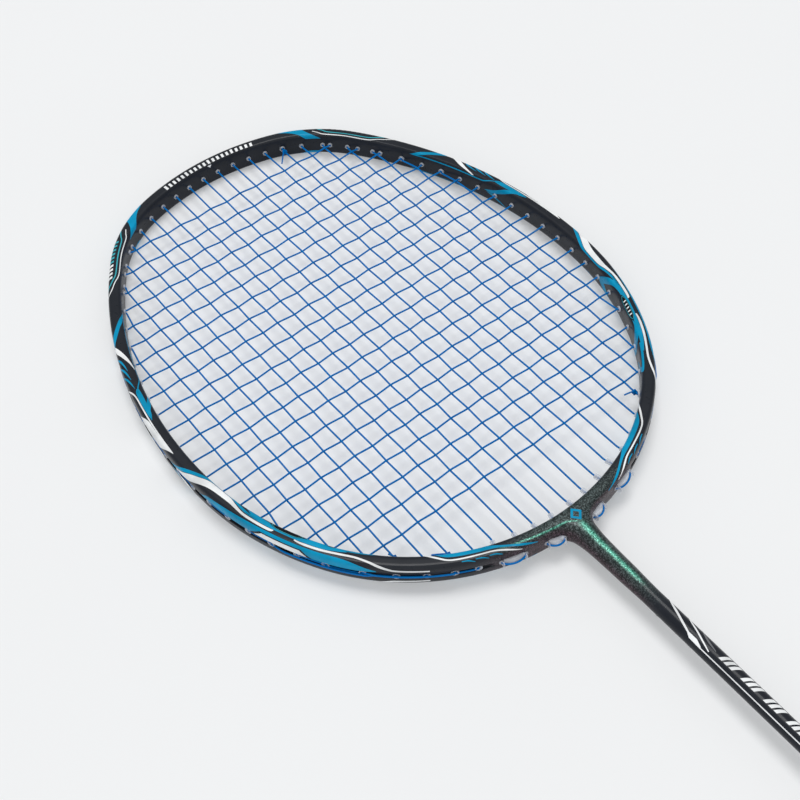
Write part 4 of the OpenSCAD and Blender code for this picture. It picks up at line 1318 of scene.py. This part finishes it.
def handle_cone():
    """Octagon at the bottom, round at the neck, with two grooves and a lip."""
    neck, neck_r, start, lip_y, lip_r = CORE_TOP + 16, 8.2, 171, 198, 5.28
    grooves = (neck + 3.1, neck + 7.1)
    groove_d, lip_rim = 0.5, {200.8: 0.12, 200.95: 0.35, CONE_TOP: 0.7}
    octo = eight_sided(CORE_W, CORE_H, CHAMFER, AROUND, 30)
    ys = [168.1, 168.12, 168.5, start, *np.linspace(172, neck, 14)]
    ys += [neck + d for d in (2.7, 3.0, 3.1, 4.1, 4.2, 4.5, 6.7, 7.0, 7.1, 8.1, 8.2, 8.5)]
    ys += [197.6, 198.0, 198.2, 200.2, 200.8, 200.95, CONE_TOP]
    rows = []
    for y in ys:
        turned = min(1, max(0, (y - start) / (neck - start)))
        narrowed = neck_r + (5.0 - neck_r) * min(1, (y - neck) / (lip_y - neck))
        r = octo * (1 - turned) + neck_r * turned if y <= neck else np.full(len(AROUND), narrowed)
        if any(g - 0.02 <= y <= g + 1.02 for g in grooves):
            r = r - groove_d
        if y >= lip_y + 0.1:
            r = np.full(len(AROUND), lip_r) - lip_rim.get(y, 0)
        if y < 168.4:
            r = r - (0.5 if y == 168.1 else 0.12)
        rows.append(around(y, r, AROUND))
    rows.append(around(CONE_TOP, np.full(len(AROUND), SHAFT_R - 0.1), AROUND))
    soup = Soup()
    soup.grid(rows, wrap=True)
    soup.make("handle_cone", CONE, slot="cone_plastic", replaces=("cone",))


def cap():
    """Butt cap with a rounded rim and a recess for its disc."""
    more = FLARE + 2 * GRIP_T
    rim = eight_sided(CORE_W + more, CORE_H + more, CHAMFER + 2, AROUND, 22)
    outside = ((4.0, 0.6), (3.9, 0.15), (3.6, 0), (1.3, 0), (0.7, 0.12), (0.25, 0.5), (0.03, 1.1), (0.0, 1.9))
    rows = [around(y, rim - d, AROUND) for y, d in outside]
    recess = ((0.0, 9.6), (0.05, 9.2), (0.8, 9.02), (0.8, 0.5))
    rows += [around(y, np.full(len(AROUND), r), AROUND) for y, r in recess]
    soup = Soup()
    soup.grid(rows, wrap=True, flip=True)
    soup.make("cap", PLASTIC, slot="cap_plastic", replaces=("butt_cap",))


finishing_tape()
handle_cone()
cap()

for name, material in (("butt_disc", DISC), ("handle_core", wood()), ("t_joint", metal("joint_metal"))):
    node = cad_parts[name]
    for slot in node.material_slots:
        slot.material = material

# ---------------- floor, light

def stage():
    """Pale floor that the tip of the hoop and the butt both rest on."""
    butt_half, length = 14.95, 672
    tilt = math.atan2(butt_half - HALF_H, length)
    mesh = bpy.data.meshes.new("floor")
    corners = [(x * 6.0, y * 6.0, 0) for x, y in ((-1, -1), (1, -1), (1, 1), (-1, 1))]
    mesh.from_pydata(corners, [], [(0, 1, 2, 3)])
    floor = bpy.data.objects.new("floor", mesh)
    scene.collection.objects.link(floor)
    floor.location = (0, 0.001, -0.01496)     # just under the butt
    floor.rotation_euler = (tilt, 0, 0)
    m = Nodes("floor")
    m.colour(3, 2, (0.605, 0.61, 0.615), (0.62, 0.625, 0.63))
    m.set(Roughness=0.8, Specular_IOR_Level=0.1)
    m.set(Emission_Color=(0.965, 0.985, 1.0, 1), Emission_Strength=0.24)
    mesh.materials.append(m.mat)


stage()

world = bpy.data.worlds.new("studio")
scene.world = world
world.use_nodes = True
sky = world.node_tree.nodes["Background"]
sky.inputs["Color"].default_value = (0.975, 0.987, 1.0, 1)
sky.inputs["Strength"].default_value = 0.47
scene.view_settings.view_transform = "Standard"

SUNS = (("soft_key", 1.55, 0.5, (0.12, 0.2, 1.0)), ("wide_fill", 0.65, 1.3, (-0.55, -0.65, 0.6)))
for name, energy, angle, toward in SUNS:
    sun_data = bpy.data.lights.new(name, "SUN")
    sun_data.energy, sun_data.angle, sun_data.color = energy, angle, (1.0, 0.995, 0.985)
    sun = bpy.data.objects.new(name, sun_data)
    scene.collection.objects.link(sun)
    sun.rotation_euler = Vector(toward).to_track_quat("Z", "Y").to_euler()
